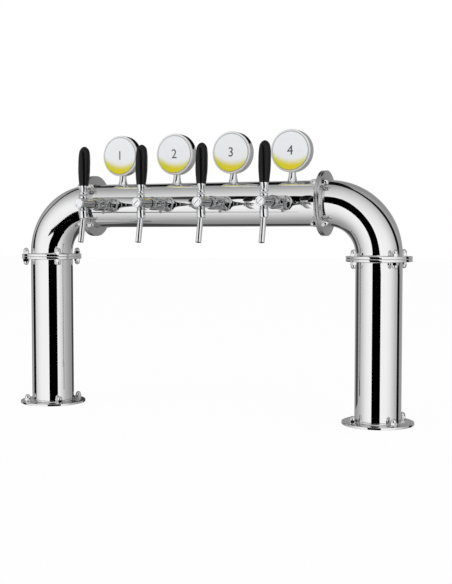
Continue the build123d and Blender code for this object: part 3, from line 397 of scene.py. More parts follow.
def turned_face(name, upright):
    """Turned flanges: fine rings left by the lathe, a little duller than the tube."""
    tone = [v * turned_share for v in bpy.context.scene.tower_finish.steel]

    def build(tree, spot):
        x, y, z = tree.axes(spot)
        across = abs(x) - column_x if upright else z - bar_height
        radius = (across * across + y * y).root()
        along = z if upright else x
        rings = tree.add("ShaderNodeTexNoise", {"noise_dimensions": "1D"},
                         {"W": radius + along, "Scale": 2200.0, "Detail": 2.0})
        grain = tree.wire(rings, "Fac")
        cloud = tree.noise(spot, 35.0)
        return {
            "Base Color": tree.mix(grain, rgba([v * 0.93 for v in tone]), rgba(tone)),
            "Metallic": 1.0,
            "Roughness": 0.15 + 0.10 * grain + 0.06 * cloud,
            "Normal": tree.bump(grain, 0.10, 0.05 * mm),
        }
    return finish(name, build)


def nut_steel():
    """Polished stainless nuts and washers with handling marks."""
    tone = bpy.context.scene.tower_finish.steel

    def build(tree, spot):
        marks = tree.noise(spot, 260.0, 4.0)
        return {
            "Base Color": tree.mix(marks, rgba([v * 0.9 for v in tone]), rgba(tone)),
            "Metallic": 1.0,
            "Roughness": 0.05 + 0.10 * marks * marks,
            "Normal": tree.bump(marks, 0.06, 0.1 * mm),
        }
    return finish("nut_steel", build)


def chrome_plate(name="chrome_plate", share=1.0):
    """Chrome on polished castings: slightly wavy, with faint water marks."""
    tone = [v * share for v in bpy.context.scene.tower_finish.chrome]

    def build(tree, spot):
        marks = tree.noise(spot, 140.0, 4.0)
        waves = tree.noise(spot, 75.0, 1.0)
        return {
            "Base Color": tree.mix(marks, rgba(tone), rgba([v * 0.95 for v in tone])),
            "Metallic": 1.0,
            "Roughness": 0.02 + 0.06 * marks * marks,
            "Normal": tree.bump(waves, 0.12, 1.0 * mm),
        }
    return finish(name, build)


def cast_chrome():
    """Chrome on the tap castings with painted shade, darker than on the turned pieces."""
    return chrome_plate("cast_chrome", painted_shade_share)


def black_handle():
    """Moulded glossy black handles with a lacquer coat and faint wear at the grip."""
    tone = bpy.context.scene.tower_finish.handle

    def build(tree, spot):
        wear = tree.noise(spot, 90.0, 5.0)
        flow = tree.noise(spot, 30.0, 2.0, (1, 1, 0.3))
        return {
            "Base Color": tree.mix(wear, rgba(tone), rgba([v * 1.8 for v in tone])),
            "Roughness": 0.16 + 0.14 * wear * wear,
            "Specular IOR Level": 0.20,
            "Coat Weight": 0.08 + 0.08 * flow,
            "Coat Roughness": 0.04,
            "Normal": tree.bump(flow, 0.04, 1.0 * mm),
        }
    return finish("black_handle", build)


def disc_axes(tree):
    """Across, up and distance from the middle of a medallion, 1 at the disc's edge."""
    marks = tree.add("ShaderNodeUVMap", {"uv_map": "face"})
    across, up, _ = tree.axes(tree.wire(marks))
    return across, up, (across * across + up * up).root()


def medallion_face():
    """Cool white face whose foot turns yellow in a soft bowl-shaped band, with painted shade
    at its edge.
    """
    tones = bpy.context.scene.tower_finish

    def build(tree, spot):
        across, up, radius = disc_axes(tree)
        level = -0.45 + 0.34 * across * across - 0.10 * across - up
        shade = level.above(-0.10, 0.34)
        warm = (0.75 - abs(across) + 0.25 * across).above(0.1, 0.9)
        yellow = tree.mix(warm, rgba(tones.lime), rgba(tones.gold))
        grain = tree.noise(spot, 700.0, 2.0)
        white = tree.mix(grain, rgba(tones.face), rgba([v * 0.985 for v in tones.face]))
        printed = tree.mix(shade, white, yellow)
        # Painted shade: the disc darkens towards its edge, along its seam with the rim.
        edge = radius.above(0.965, 0.985)
        painted_shade_grey = (0.20, 0.20, 0.19, 1)
        return {
            "Base Color": tree.mix(edge * 0.75, printed, painted_shade_grey),
            "Roughness": 0.16 + 0.06 * grain,
            "Specular IOR Level": 0.15,
            "Coat Weight": 0.05 + 0.05 * grain,
            "Coat Roughness": 0.05,
            "Normal": tree.bump(grain, 0.01, 0.1 * mm),
        }
    return finish("medallion_face", build)


def clear_rim():
    """Bevelled acrylic rim: milky, with a painted reflection of the face's yellow at its foot
    and painted shade along its inner and outer edges.
    """
    tones = bpy.context.scene.tower_finish

    def build(tree, spot):
        across, up, radius = disc_axes(tree)
        haze = tree.noise(spot, 120.0, 3.0)
        # Painted reflection: the face's yellow tints the rim towards its foot.
        painted_yellow_reflection = (-up - 0.1 * across).above(0.25, 1.1)
        milky = tree.mix(haze, (0.90, 0.905, 0.91, 1), (0.94, 0.945, 0.95, 1))
        # Painted shade: the rim darkens along its inner edge at the disc and along its outer
        # edge.
        inner = (1.06 - radius).above(0.0, 0.05)
        tinted = tree.mix(painted_yellow_reflection * 0.12, milky, rgba(tones.gold))
        outer = radius.above(1.055, 1.10)
        painted_shade_grey = (0.16, 0.16, 0.16, 1)
        return {
            "Base Color": tree.mix(inner * 0.45 + outer * 0.50, tinted, painted_shade_grey),
            "Roughness": 0.06 + 0.06 * haze,
            "Coat Weight": 0.9 + 0.1 * haze,
            "Coat Roughness": 0.02,
        }
    return finish("clear_rim", build)


def dark_print():
    """Dark print of the numerals, with the faint grain of a screen print."""
    tone = bpy.context.scene.tower_finish.print

    def build(tree, spot):
        grain = tree.noise(spot, 1500.0, 2.0)
        return {
            "Base Color": tree.mix(grain, rgba(tone), rgba([v * 1.7 for v in tone])),
            "Roughness": 0.25 + 0.1 * grain,
        }
    return finish("dark_print", build)


def plain_finish(name, tone, rough, metallic=0.0, spread=0.75, scale=180.0):
    """A worked or moulded surface for the pieces inside: mottled tone, gloss and grain."""
    def build(tree, spot):
        mottle = tree.noise(spot, scale, 5.0)
        return {
            "Base Color": tree.mix(mottle, rgba(tone), rgba([v * spread for v in tone])),
            "Metallic": metallic,
            "Roughness": rough + 0.15 * mottle,
            "Normal": tree.bump(mottle, 0.08, 0.1 * mm),
        }
    return finish(name, build)


# --- Modelling by hand, in code ---
def deselect():
    if bpy.context.mode != "OBJECT":
        bpy.ops.object.mode_set(mode="OBJECT")
    bpy.ops.object.select_all(action="DESELECT")


def activate(*pieces):
    """Selects these pieces alone and makes the first one active."""
    deselect()
    for piece in pieces:
        piece.select_set(True)
    bpy.context.view_layer.objects.active = pieces[0]


def edit(piece):
    activate(piece)
    bpy.ops.object.mode_set(mode="EDIT")
    bpy.ops.mesh.select_mode(type="EDGE")
    bpy.ops.mesh.select_all(action="SELECT")


def close_seams():
    """In edit mode: merges doubles, turns the faces outwards and leaves edit mode."""
    bpy.ops.mesh.select_all(action="SELECT")
    bpy.ops.mesh.remove_doubles(threshold=merge_gap)
    bpy.ops.mesh.normals_make_consistent(inside=False)
    bpy.ops.object.mode_set(mode="OBJECT")


def arc(across, up, radius, start, end, steps=6):
    """Stations along an arc about a point, in degrees from the outward direction."""
    turns = [radians(start + (end - start) * n / steps) for n in range(steps + 1)]
    return [(across + radius * cos(turn), up + radius * sin(turn)) for turn in turns]


def flowing(start, start_way, end, end_way, steps=14):
    """Stations along a smooth curve that leaves and arrives in the given directions."""
    first, last = Vector(start), Vector(end)
    reach = (last - first).length
    one = first + Vector(start_way).normalized() * reach / 3
    two = last - Vector(end_way).normalized() * reach / 3
    made = []
    for n in range(steps + 1):
        t = n / steps
        point = ((1 - t)**3 * first + 3 * t * (1 - t)**2 * one
                 + 3 * t**2 * (1 - t) * two + t**3 * last)
        made.append((point.x, point.y))
    return made


def turn(name, profile, segments=96):
    """A piece turned about Z: a ring extruded and resized through (radius, height)."""
    deselect()
    radius, height = profile[0]
    bpy.ops.mesh.primitive_circle_add(vertices=segments, radius=max(radius, pole_r),
                                      location=(0, 0, height))
    piece = bpy.context.object
    piece.name = name
    bpy.ops.object.transform_apply(location=True, rotation=False, scale=False)
    edit(piece)
    for next_radius, next_height in profile[1:]:
        bpy.ops.mesh.extrude_region_move(
            TRANSFORM_OT_translate={"value": (0, 0, next_height - height)})
        ratio = max(next_radius, pole_r) / max(radius, pole_r)
        bpy.ops.transform.resize(value=(ratio, ratio, 1),
                                 center_override=(0, 0, next_height))
        radius, height = next_radius, next_height
    close_seams()
    return piece


def place(piece, origin, out=row_up, roll=0.0):
    """Turns the piece's Z towards a direction, moves it there and applies both."""
    facing = Vector(out).to_track_quat("Z", "Y") @ Quaternion((0, 0, 1), roll)
    piece.matrix_world = Matrix.Translation(origin) @ facing.to_matrix().to_4x4()
    activate(piece)
    bpy.ops.object.transform_apply(location=True, rotation=True, scale=True)
    return piece


def copy(piece, name):
    """A copy with its own mesh."""
    activate(piece)
    bpy.ops.object.duplicate(linked=False)
    twin = bpy.context.object
    twin.name = name
    return twin


def copies(source, name, spots, out=row_up):
    """A copy of the piece at each spot, facing out."""
    return [place(copy(source, name), spot, out) for spot in spots]


def discard(*pieces):
    """Removes the pieces that were only there to be copied."""
    for piece in pieces:
        bpy.data.objects.remove(piece)


def carve(piece, tool, operation="DIFFERENCE"):
    """Cuts, joins or trims the piece with a tool, which is used up."""
    modifier = piece.modifiers.new("carve", "BOOLEAN")
    modifier.object = tool
    modifier.operation = operation
    modifier.solver = "EXACT"
    activate(piece)
    bpy.ops.object.modifier_apply(modifier="carve")
    discard(tool)
    return piece


def join(name, pieces):
    """Several pieces made one object."""
    activate(*pieces)
    bpy.ops.object.join()
    whole = bpy.context.object
    whole.name = name
    return whole


def break_edges(piece, width, over):
    """Breaks the edges that turn by more than an angle, in degrees."""
    modifier = piece.modifiers.new("round", "BEVEL")
    modifier.width = width
    modifier.segments = 1
    modifier.limit_method = "ANGLE"
    modifier.angle_limit = radians(over)
    modifier.harden_normals = False
    activate(piece)
    bpy.ops.object.modifier_apply(modifier="round")


def smooth(piece):
    activate(piece)
    bpy.ops.object.shade_smooth_by_angle(angle=radians(sharp_angle))


def deliver(piece, body, slot, materials, *nodes):
    """Shades the finished piece, gives it its finish and sets it on its body."""
    smooth(piece)
    piece.data.materials.clear()
    for material in materials:
        piece.data.materials.append(material)
    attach(piece, body)
    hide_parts(*nodes)


def cylinder(radius, depth, origin, out=row_up, vertices=64):
    """A plain tool for carving, starting at its origin and going out."""
    deselect()
    bpy.ops.mesh.primitive_cylinder_add(vertices=vertices, radius=radius, depth=depth,
                                        location=(0, 0, 0))
    tool = bpy.context.object
    tool.data.transform(Matrix.Translation((0, 0, depth / 2)))
    return place(tool, origin, out)


def bar_core():
    """A tool that clears what a piece leaves inside the bar."""
    radius = bpy.context.scene.tower_tube.tube_r - 0.2 * mm
    return cylinder(radius, 2 * bar_end, (-bar_end, 0, bar_height), row_right, 256)


def rim(radius, low, high, edge):
    """Stations round a flange's rim with both its edges rounded."""
    return (arc(radius - edge, low + edge, edge, -90, 0, 3)
            + arc(radius - edge, high - edge, edge, 0, 90, 3))


def bolt_places(centre, first, second):
    """Four places round a centre, between the two directions and their opposites."""
    reach = bpy.context.scene.tower_tube.bolt_circle_r / sqrt(2)
    return [Vector(centre) + reach * (a * Vector(first) + b * Vector(second))
            for a in (-1, 1) for b in (-1, 1)]


def straight_tube(name, low, high):
    """A tube turned about Z with its ends broken, from low to high."""
    tube = bpy.context.scene.tower_tube
    bore = tube.tube_r - tube.wall
    edge = 0.3 * mm
    return turn(name, [
        (bore, low), (tube.tube_r - edge, low), (tube.tube_r, low + edge),
        (tube.tube_r, high - edge), (tube.tube_r - edge, high), (bore, high), (bore, low),
    ], tube.segments)


def joint_seats():
    """Middle and axis of each of the four bolted joints."""
    joint_z = column_top + bpy.context.scene.tower_tube.gasket_t / 2
    joint_x = bar_end + bpy.context.scene.tower_tube.gasket_t / 2
    seats = [(Vector((side * column_x, 0, joint_z)), row_up) for side in (-1, 1)]
    return seats + [(Vector((side * joint_x, 0, bar_height)), row_right)
                    for side in (-1, 1)]


# --- Operators: one for each piece or group of like pieces ---
class ColumnsOperator(bpy.types.Operator):
    """Model the two columns"""
    bl_idname = "tower.columns"
    bl_label = "Columns"

    def execute(self, context):
        for side, direction in sides.items():
            piece = straight_tube(f"{side}_column_steel", 0, column_top)
            place(piece, (direction * column_x, 0, 0))
            deliver(piece, "tower", "polished_steel", [polished_steel()], f"{side}_column")
        return {"FINISHED"}


class ElbowsOperator(bpy.types.Operator):
    """Model the two bent elbows"""
    bl_idname = "tower.elbows"
    bl_label = "Elbows"

    def execute(self, context):
        tube = context.scene.tower_tube
        foot = column_top + tube.gasket_t
        for side, direction in sides.items():
            deselect()
            bpy.ops.mesh.primitive_circle_add(vertices=tube.segments, radius=tube.tube_r,
                                              location=(direction * column_x, 0, foot))
            bend = bpy.context.object
            bend.name = f"{side}_elbow_steel"
            bpy.ops.object.transform_apply(location=True)
            edit(bend)
            bpy.ops.mesh.extrude_region_move(
                TRANSFORM_OT_translate={"value": (0, 0, tube.elbow_straight)})
            bpy.ops.mesh.spin(
                steps=72, angle=direction * pi / 2, axis=(0, 1, 0),
                center=(direction * (column_x - tube.bend_r), 0, foot + tube.elbow_straight))
            bpy.ops.mesh.extrude_region_move(
                TRANSFORM_OT_translate={"value": (-direction * tube.elbow_straight, 0, 0)})
            close_seams()
            wall = bend.modifiers.new("wall", "SOLIDIFY")
            wall.thickness = tube.wall
            wall.offset = -1
            activate(bend)
            bpy.ops.object.modifier_apply(modifier="wall")
            deliver(bend, "tower", "polished_steel", [polished_steel()], f"{side}_elbow")
        return {"FINISHED"}


class CrossbarOperator(bpy.types.Operator):
    """Model the crossbar between the elbows"""
    bl_idname = "tower.crossbar"
    bl_label = "Crossbar"

    def execute(self, context):
        piece = straight_tube("crossbar_steel", -bar_end, bar_end)
        place(piece, (0, 0, bar_height), row_right)
        deliver(piece, "tower", "polished_steel", [polished_steel()], "crossbar")
        return {"FINISHED"}


class FlangesOperator(bpy.types.Operator):
    """Model the flanges on the bases and in the joints, with their welds and bolt holes"""
    bl_idname = "tower.flanges"
    bl_label = "Flanges"

    def execute(self, context):
        tube = context.scene.tower_tube
        base = self.ring(tube, tube.base_flange_r, tube.base_flange_t)
        bases = copies(base, "base", [(direction * column_x, 0, 0)
                                      for direction in sides.values()])
        upright = turned_face("turned_flange", True)
        self.finish_rings("base_flange_rings", bases, upright, "base_flanges")
        ring = self.ring(tube, tube.joint_flange_r, tube.joint_flange_t)
        rings = {True: [], False: []}
        for centre, axis in joint_seats():
            for way in (-1, 1):
                seat = centre + way * tube.gasket_t / 2 * axis
                rings[axis == row_up].append(place(copy(ring, "ring"), seat, way * axis))
        self.finish_rings("column_flange_rings", rings[True], upright, "joint_flanges")
        self.finish_rings("crossbar_flange_rings", rings[False],
                          turned_face("turned_flange_upright", False), "joint_flanges", True)
        discard(base, ring)
        return {"FINISHED"}

    def ring(self, tube, radius, thickness):
        weld_out = tube.tube_r + tube.weld_leg
        ring = turn("flange", [
            (tube.tube_r, 0),
            *rim(radius, 0, thickness, tube.flange_edge),
            *arc(weld_out, thickness + tube.weld_leg, tube.weld_leg, 270, 180, 5),
            (tube.tube_r, 0),
        ], tube.segments)
        for spot in bolt_places((0, 0, -mm), row_right, row_front):
            carve(ring, cylinder(tube.hole_r, thickness + 2 * mm, spot, vertices=32))
        return ring

    def finish_rings(self, name, rings, turned, node, all_turned=False):
        """Joins the rings; all of them, or only their level faces, are left as turned."""
        whole = join(name, rings)
        deliver(whole, "tower", "polished_steel", [polished_steel(), turned], node)
        for face in whole.data.polygons:
            if all_turned or abs(face.normal.z) > 0.99:
                face.material_index = 1


class NutsOperator(bpy.types.Operator):
    """Model the domed nuts of the joints and bases, and the base washers"""
    bl_idname = "tower.nuts"
    bl_label = "Domed nuts and washers"

    def execute(self, context):
        nut = context.scene.tower_nut
        tube = context.scene.tower_tube
        corner_r = nut.across_flats / sqrt(3)
        dome_low = nut.height - nut.dome_r
        blank = [
            (0, 0), (corner_r - 0.9 * mm, 0), (corner_r, 0.6 * mm),
            (corner_r, nut.hex_h - 0.7 * mm), (nut.dome_r + 0.25 * mm, nut.hex_h),
            (nut.dome_r, nut.hex_h + 0.25 * mm),
            *arc(0, dome_low, nut.dome_r, 0, 90, 8),
        ]
        first = turn("domed_nut", blank, 36)
        carve(first, cylinder(corner_r, nut.height + 2 * mm, (0, 0, -mm), vertices=6),
              "INTERSECT")
        break_edges(first, 0.12 * mm, 40)
        washer = turn("washer", [
            (nut.washer_hole_r, 0), *rim(nut.washer_r, 0, nut.washer_t, 0.25 * mm),
            (nut.washer_hole_r, nut.washer_t), (nut.washer_hole_r, 0)], 40)
        half = tube.gasket_t / 2 + tube.joint_flange_t
        joint_nuts = []
        for centre, axis in joint_seats():
            across = row_right if axis == row_up else row_up
            for spot in bolt_places(centre, across, row_front):
                for way in (-1, 1):
                    # Each nut comes to rest at another angle.
                    turned = radians(7 + 23 * len(joint_nuts))
                    joint_nuts.append(place(copy(first, "nut"), spot + way * half * axis,
                                            way * axis, turned))
        whole = join("joint_domed_nuts", joint_nuts)
        deliver(whole, "tower", "fastener_steel", [nut_steel()], "joint_acorn_nuts")
        base_nuts = []
        base_washers = []
        for direction in sides.values():
            centre = (direction * column_x, 0, tube.base_flange_t)
            for spot in bolt_places(centre, row_right, row_front):
                base_washers.append(place(copy(washer, "washer"), spot))
                turned = radians(11 + 19 * len(base_nuts))
                base_nuts.append(place(copy(first, "nut"), spot + nut.washer_t * row_up,
                                       row_up, turned))
        deliver(join("base_domed_nuts", base_nuts), "tower", "fastener_steel",
                [nut_steel()], "base_acorn_nuts")
        deliver(join("base_nut_washers", base_washers), "tower", "fastener_steel",
                [nut_steel()], "base_washers")
        discard(first, washer)
        return {"FINISHED"}


def write_face_marks(piece, radius):
    """A UV map of the piece's own X and Y, 1 at the disc's edge, before it is placed."""
    marks = piece.data.uv_layers.new(name="face")
    for loop in piece.data.loops:
        spot = piece.data.vertices[loop.vertex_index].co
        marks.data[loop.index].uv = (spot.x / radius, spot.y / radius)


class MedallionsOperator(bpy.types.Operator):
    """Model the medallions: chrome cup, bevelled rim, printed disc and tap number"""
    bl_idname = "tower.medallions"
    bl_label = "Medallions"

    def execute(self, context):
        size = context.scene.tower_medallion
        half = size.depth / 2
        front = half + size.bevel
        inner = size.radius - size.wall
        cup = turn("cup", [
            (0, -half),
            *arc(size.radius - size.corner, size.corner - half, size.corner, -90, 0, 8),
            *arc(size.radius - 0.4 * mm, half - 0.4 * mm, 0.4 * mm, 0, 90, 3),
            (inner, half), (inner, size.corner - half),
            *arc(inner - 2.5 * mm, size.corner - half, 2.5 * mm, 0, -90, 4)[1:],
            (0, size.wall - half),
        ], 128)
        lens = turn("lens", [
            (0, half - mm), (inner - 0.05 * mm, half - mm), (inner - 0.05 * mm, half),
            *arc(size.radius - 0.6 * mm, half + 0.6 * mm, 0.6 * mm, -90, 30, 4),
            *flowing((size.radius - 0.5 * mm, half + mm), (-0.2, 1),
                     (size.disc_r + 1.2 * mm, front - 0.2 * mm), (-1, 0.35), 10),
            (size.disc_r + 0.5 * mm, front), (0, front),
        ], 128)
        disc = turn("disc", [
            (0, front), (size.disc_r, front),
            *arc(size.disc_r - 0.3 * mm, front + size.disc_t - 0.3 * mm, 0.3 * mm, 0, 90, 3),
            *[(size.disc_r * share, front + size.disc_t) for share in (0.9, 0.6, 0.3, 0)],
        ], 128)
        write_face_marks(lens, size.disc_r)
        write_face_marks(disc, size.disc_r)
        out = Matrix.Rotation(-size.turn, 3, "Z") @ row_front
        for number, x in enumerate(tap_places, start=1):
            centre = (x, 0, bar_height + size.rise)
            name = f"medallion_{number}"
            for source, label, slot, material, node in (
                    (cup, "cup", "chrome_plate", chrome_plate(), f"{name}_housing"),
                    (lens, "rim", "clear_acrylic", clear_rim(), "medallion_lenses"),
                    (disc, "face", "printed_disc", medallion_face(),
                     "medallion_print_discs")):
                piece = place(copy(source, f"{name}_{label}"), centre, out)
                deliver(piece, "tower", slot, [material], node)
            numeral = self.numeral(number, size.numeral_h, front + size.disc_t)
            numeral.name = f"{name}_numeral"
            place(numeral, centre, out)
            deliver(numeral, "tower", "printed_disc", [dark_print()])
        discard(cup, lens, disc)
        return {"FINISHED"}

    def numeral(self, number, height, level):
        """A flat number, thin as print, standing upright on the disc."""
        deselect()
        bpy.ops.object.text_add(location=(0, 0, 0))
        text = bpy.context.object
        text.data.body = str(number)
        text.data.size = height
        text.data.align_x = "CENTER"
        text.data.align_y = "CENTER"
        text.data.extrude = 0.06 * mm
        text.data.resolution_u = 8
        bpy.ops.object.convert(target="MESH")
        print_piece = bpy.context.object
        print_piece.location = (0, 0, level + 0.02 * mm)
        bpy.ops.object.transform_apply(location=True, rotation=True, scale=True)
        return print_piece


class StemsOperator(bpy.types.Operator):
    """Model the flared stems between the bar and the medallions"""
    bl_idname = "tower.stems"
    bl_label = "Medallion stems"

    def execute(self, context):
        size = context.scene.tower_medallion
        tube_r = context.scene.tower_tube.tube_r
        low = sqrt(tube_r**2 - size.stem_foot_r**2) - 0.3 * mm
        high = size.rise - size.radius
        stem = turn("stem", [
            (0, low), (size.stem_foot_r, low),
            *flowing((size.stem_foot_r, low + 0.4 * mm), (-0.40, 1),
                     (size.stem_top_r, high - 1.5 * mm), (-0.05, 1), 18),
            (size.stem_top_r, high + 1.2 * mm), (0, high + 1.2 * mm),
        ], 72)
        stems = copies(stem, "stem", tap_axes)
        whole = carve(join("medallion_flared_stems", stems), bar_core())
        deliver(whole, "tower", "chrome_plate", [chrome_plate()], "medallion_stems")
        discard(stem)
        return {"FINISHED"}


class TapMountsOperator(bpy.types.Operator):
    """Model the rosettes on the bar and the coupling nuts"""
    bl_idname = "tower.tap_mounts"
    bl_label = "Rosettes and coupling nuts"

    def execute(self, context):
        tap = context.scene.tower_tap
        tube_r = context.scene.tower_tube.tube_r
        bore = 11.4 * mm
        sunk = tube_r - 6 * mm
        rosette = turn("rosette", [
            (bore, sunk), (tap.rosette_r, sunk),
            (tap.rosette_r, tube_r + mm),
            *flowing((tap.rosette_r, tube_r + 1.5 * mm), (-0.1, 1),
                     (tap.rosette_front_r, tap.rosette_front - 0.3 * mm), (-0.75, 1), 10),
            (tap.rosette_front_r - 0.4 * mm, tap.rosette_front),
            (bore, tap.rosette_front), (bore, sunk),
        ], 96)
        edge, lip = 1.2 * mm, 2.6 * mm
        mouth = tap.tail_r + 0.3 * mm
        nut = turn("coupling", [
            (bore, tap.rosette_front), (tap.nut_r - edge, tap.rosette_front),
            (tap.nut_r, tap.rosette_front + edge),
            *arc(tap.nut_r - 1.8 * mm, tap.nut_front - 1.8 * mm, 1.8 * mm, 0, 90, 5),
            (mouth, tap.nut_front), (mouth, tap.nut_front - lip),
            (bore, tap.nut_front - lip), (bore, tap.rosette_front),
        ], 96)
        notches, notch_reach = 6, tap.nut_r + 0.5 * mm
        for step in range(notches):
            notch = 2 * pi * step / notches
            spot = (notch_reach * cos(notch), notch_reach * sin(notch),
                    tap.rosette_front + 3 * mm)
            carve(nut, cylinder(2.2 * mm, 40 * mm, spot, vertices=24))
        rosettes = copies(rosette, "rosette", tap_axes, row_front)
        nuts = copies(nut, "nut", tap_axes, row_front)
        whole = carve(join("tap_rosettes", rosettes), bar_core())
        deliver(whole, "tower", "chrome_plate", [cast_chrome()], "shank_rosettes")
        deliver(join("tap_coupling_nuts", nuts), "tower", "chrome_plate",
                [cast_chrome()], "coupling_nuts")
        discard(rosette, nut)
        return {"FINISHED"}


class TapBodiesOperator(bpy.types.Operator):
    """Model the tap bodies with their bonnet nuts and slotted front caps"""
    bl_idname = "tower.tap_bodies"
    bl_label = "Tap bodies"

    def execute(self, context):
        tap = context.scene.tower_tap
        body, cap, bonnet = self.body(tap), self.cap(tap), self.bonnet(tap)
        caps, bonnets = [], []
        for number, spot in enumerate(tap_axes, start=1):
            piece = place(copy(body, f"tap_{number}_casting"), spot, row_front)
            deliver(piece, "tower", "chrome_plate", [cast_chrome()], f"tap_{number}_body")
            caps.append(place(copy(cap, "cap"), spot, row_front))
            bonnets.append(place(copy(bonnet, "bonnet"),
                                 Vector(spot) + tap.lever_reach * row_front))
        deliver(join("tap_front_caps", caps), "tower", "chrome_plate", [chrome_plate()],
                "front_caps")
        deliver(join("tap_bonnets", bonnets), "tower", "chrome_plate", [chrome_plate()],
                "bonnet_nuts")
        discard(body, cap, bonnet)
        return {"FINISHED"}

    def body(self, tap):
        """Turned along the tap's axis, with the hub, neck and spout boss blended in."""
        back = 79.6 * mm
        front_r = tap.housing_r - 4 * mm
        shoulder = flowing((tap.housing_r, tap.housing_front - 4 * mm), (0, 1),
                           (front_r, tap.housing_front + 4.5 * mm), (-1, 1), 10)
        casting = turn("casting", [
            (0, back), (tap.tail_r + 1.5 * mm, back),
            (tap.tail_r + 1.5 * mm, back + 3.8 * mm), (tap.tail_r, back + 3.8 * mm),
            (tap.tail_r, tap.housing_back),
            *arc(tap.housing_r - 2.5 * mm, tap.housing_back + 2.5 * mm, 2.5 * mm, -90, 0, 5),
            *shoulder,
            (front_r, tap.ring_back - 0.6 * mm),
            *rim(tap.ring_r, tap.ring_back - 0.5 * mm, tap.ring_back + tap.ring_t, 0.6 * mm),
            (tap.barrel_r, tap.ring_back + tap.ring_t),
            (tap.barrel_r, tap.barrel_front), (0, tap.barrel_front),
        ], 96)
        # The casting is turned with its front up: the row's up is the piece's +Y.
        lever_foot = (0, 0, tap.lever_reach)
        up = Vector((0, 1, 0))
        neck = turn("neck", [
            (0, 0), (tap.bonnet_r, 0),
            *arc(tap.bonnet_r - 0.5 * mm, tap.bonnet_seat - 0.6 * mm, 0.5 * mm, 0, 90, 3),
            (6.5 * mm, tap.bonnet_seat), (6.5 * mm, 12.4 * mm), (0, 12.4 * mm)], 72)
        boss = turn("boss", [
            (0, 0), (tap.boss_r, 0),
            *arc(tap.boss_r - 0.6 * mm, tap.boss_drop - 0.6 * mm, 0.6 * mm, 0, 90, 3),
            (0, tap.boss_drop)], 72)
        hub = turn("hub", [
            (0, 0), (tap.hub_r + 1.2 * mm, 0), (tap.hub_r + 1.2 * mm, 12 * mm),
            *flowing((tap.hub_r + 1.2 * mm, 12.2 * mm), (0, 1),
                     (tap.hub_r, 16 * mm), (0, 1), 6),
            *arc(tap.hub_r - 0.8 * mm, tap.hub_end - 0.8 * mm, 0.8 * mm, 0, 90, 4),
            (5.1 * mm, tap.hub_end), (5.1 * mm, tap.hub_end - 2 * mm),
            (0, tap.hub_end - 2 * mm)], 72)
        carve(casting, place(neck, lever_foot, up), "UNION")
        carve(casting, place(boss, lever_foot, -up), "UNION")
        carve(casting, place(hub, (0, 0, tap.hub_reach), row_right), "UNION")
        return casting

    def cap(self, tap):
        low = tap.barrel_front
        high = tap.barrel_front + tap.cap_t
        cap = turn("cap", [
            (0, low - 2.8 * mm), (8.5 * mm, low - 2.8 * mm), (8.5 * mm, low),
            (tap.cap_r - 0.3 * mm, low), (tap.cap_r, low + 0.3 * mm),
            *arc(tap.cap_r - mm, high - mm, mm, 0, 90, 5),
            (tap.cap_r - 2.2 * mm, high), (tap.cap_r - 2.9 * mm, high - mm),
            (tap.cap_r - 3.6 * mm, high - mm), (tap.cap_r - 4.2 * mm, high - 0.3 * mm),
            (0, high - 0.3 * mm)], 72)
        deselect()
        bpy.ops.mesh.primitive_cube_add(size=1)
        slot = bpy.context.object
        slot.scale = (2 * (tap.cap_r - 4 * mm), 2.4 * mm, 4 * mm)
        bpy.ops.object.transform_apply(scale=True)
        place(slot, (0, 0, high), row_up, pi / 4)
        return carve(cap, slot)

    def bonnet(self, tap):
        mouth = 16.0 * mm
        return turn("bonnet", [
            (5.3 * mm, tap.pivot_rise), (6.55 * mm, tap.pivot_rise),
            (6.55 * mm, tap.bonnet_seat),
            *arc(tap.bonnet_r - 0.5 * mm, tap.bonnet_seat + 0.5 * mm, 0.5 * mm, -90, 0, 3),
            *flowing((tap.bonnet_r, 15.2 * mm), (0, 1),
                     (tap.bonnet_mouth_r + 1.4 * mm, tap.bonnet_top), (-1, 0.25), 6),
            (tap.bonnet_mouth_r, mouth),
            *flowing((tap.bonnet_mouth_r, mouth - 0.2 * mm), (0.5, -1),
                     (5.3 * mm, tap.pivot_rise), (0, -1), 5)], 72)


class SpoutsOperator(bpy.types.Operator):
    """Model the spouts: screwed sleeve and slim leaning tube"""
    bl_idname = "tower.spouts"
    bl_label = "Spouts"

    def execute(self, context):
        tap = context.scene.tower_tap
        spout = context.scene.tower_spout
        top = tap.boss_drop
        low = top + spout.sleeve_l
        sleeve = turn("sleeve", [
            (0, top), *arc(spout.sleeve_r - 0.5 * mm, top + 0.5 * mm, 0.5 * mm, -90, 0, 3),
            (spout.sleeve_r, low - 3.0 * mm),
            *flowing((spout.sleeve_r, low - 2.6 * mm), (0, 1),
                     (spout.sleeve_r - 1.6 * mm, low), (-1, 0.8), 5),
            (0, low)], 72)
        pipe = turn("pipe", [
            (spout.tube_r, -4 * mm),
            *arc(spout.tube_r - 0.5 * mm, spout.tube_l - 0.5 * mm, 0.5 * mm, 0, 90, 3),
            (spout.bore_r + 0.3 * mm, spout.tube_l), (spout.bore_r, spout.tube_l - 0.4 * mm),
            (spout.bore_r, -4 * mm), (spout.tube_r, -4 * mm)], 72)
        down = Matrix.Rotation(-spout.lean, 3, "X") @ -row_up
        for number, x in enumerate(tap_places, start=1):
            hang = (x, -tap.lever_reach, bar_height)
            bend = Vector(hang) - spout.bend_drop * row_up
            first = place(copy(sleeve, "sleeve"), hang, -row_up)
            second = place(copy(pipe, "pipe"), bend, down)
            piece = join(f"tap_{number}_spout_tube", [first, second])
            deliver(piece, "tower", "chrome_plate", [chrome_plate()], "tap_spouts")
        discard(sleeve, pipe)
        return {"FINISHED"}


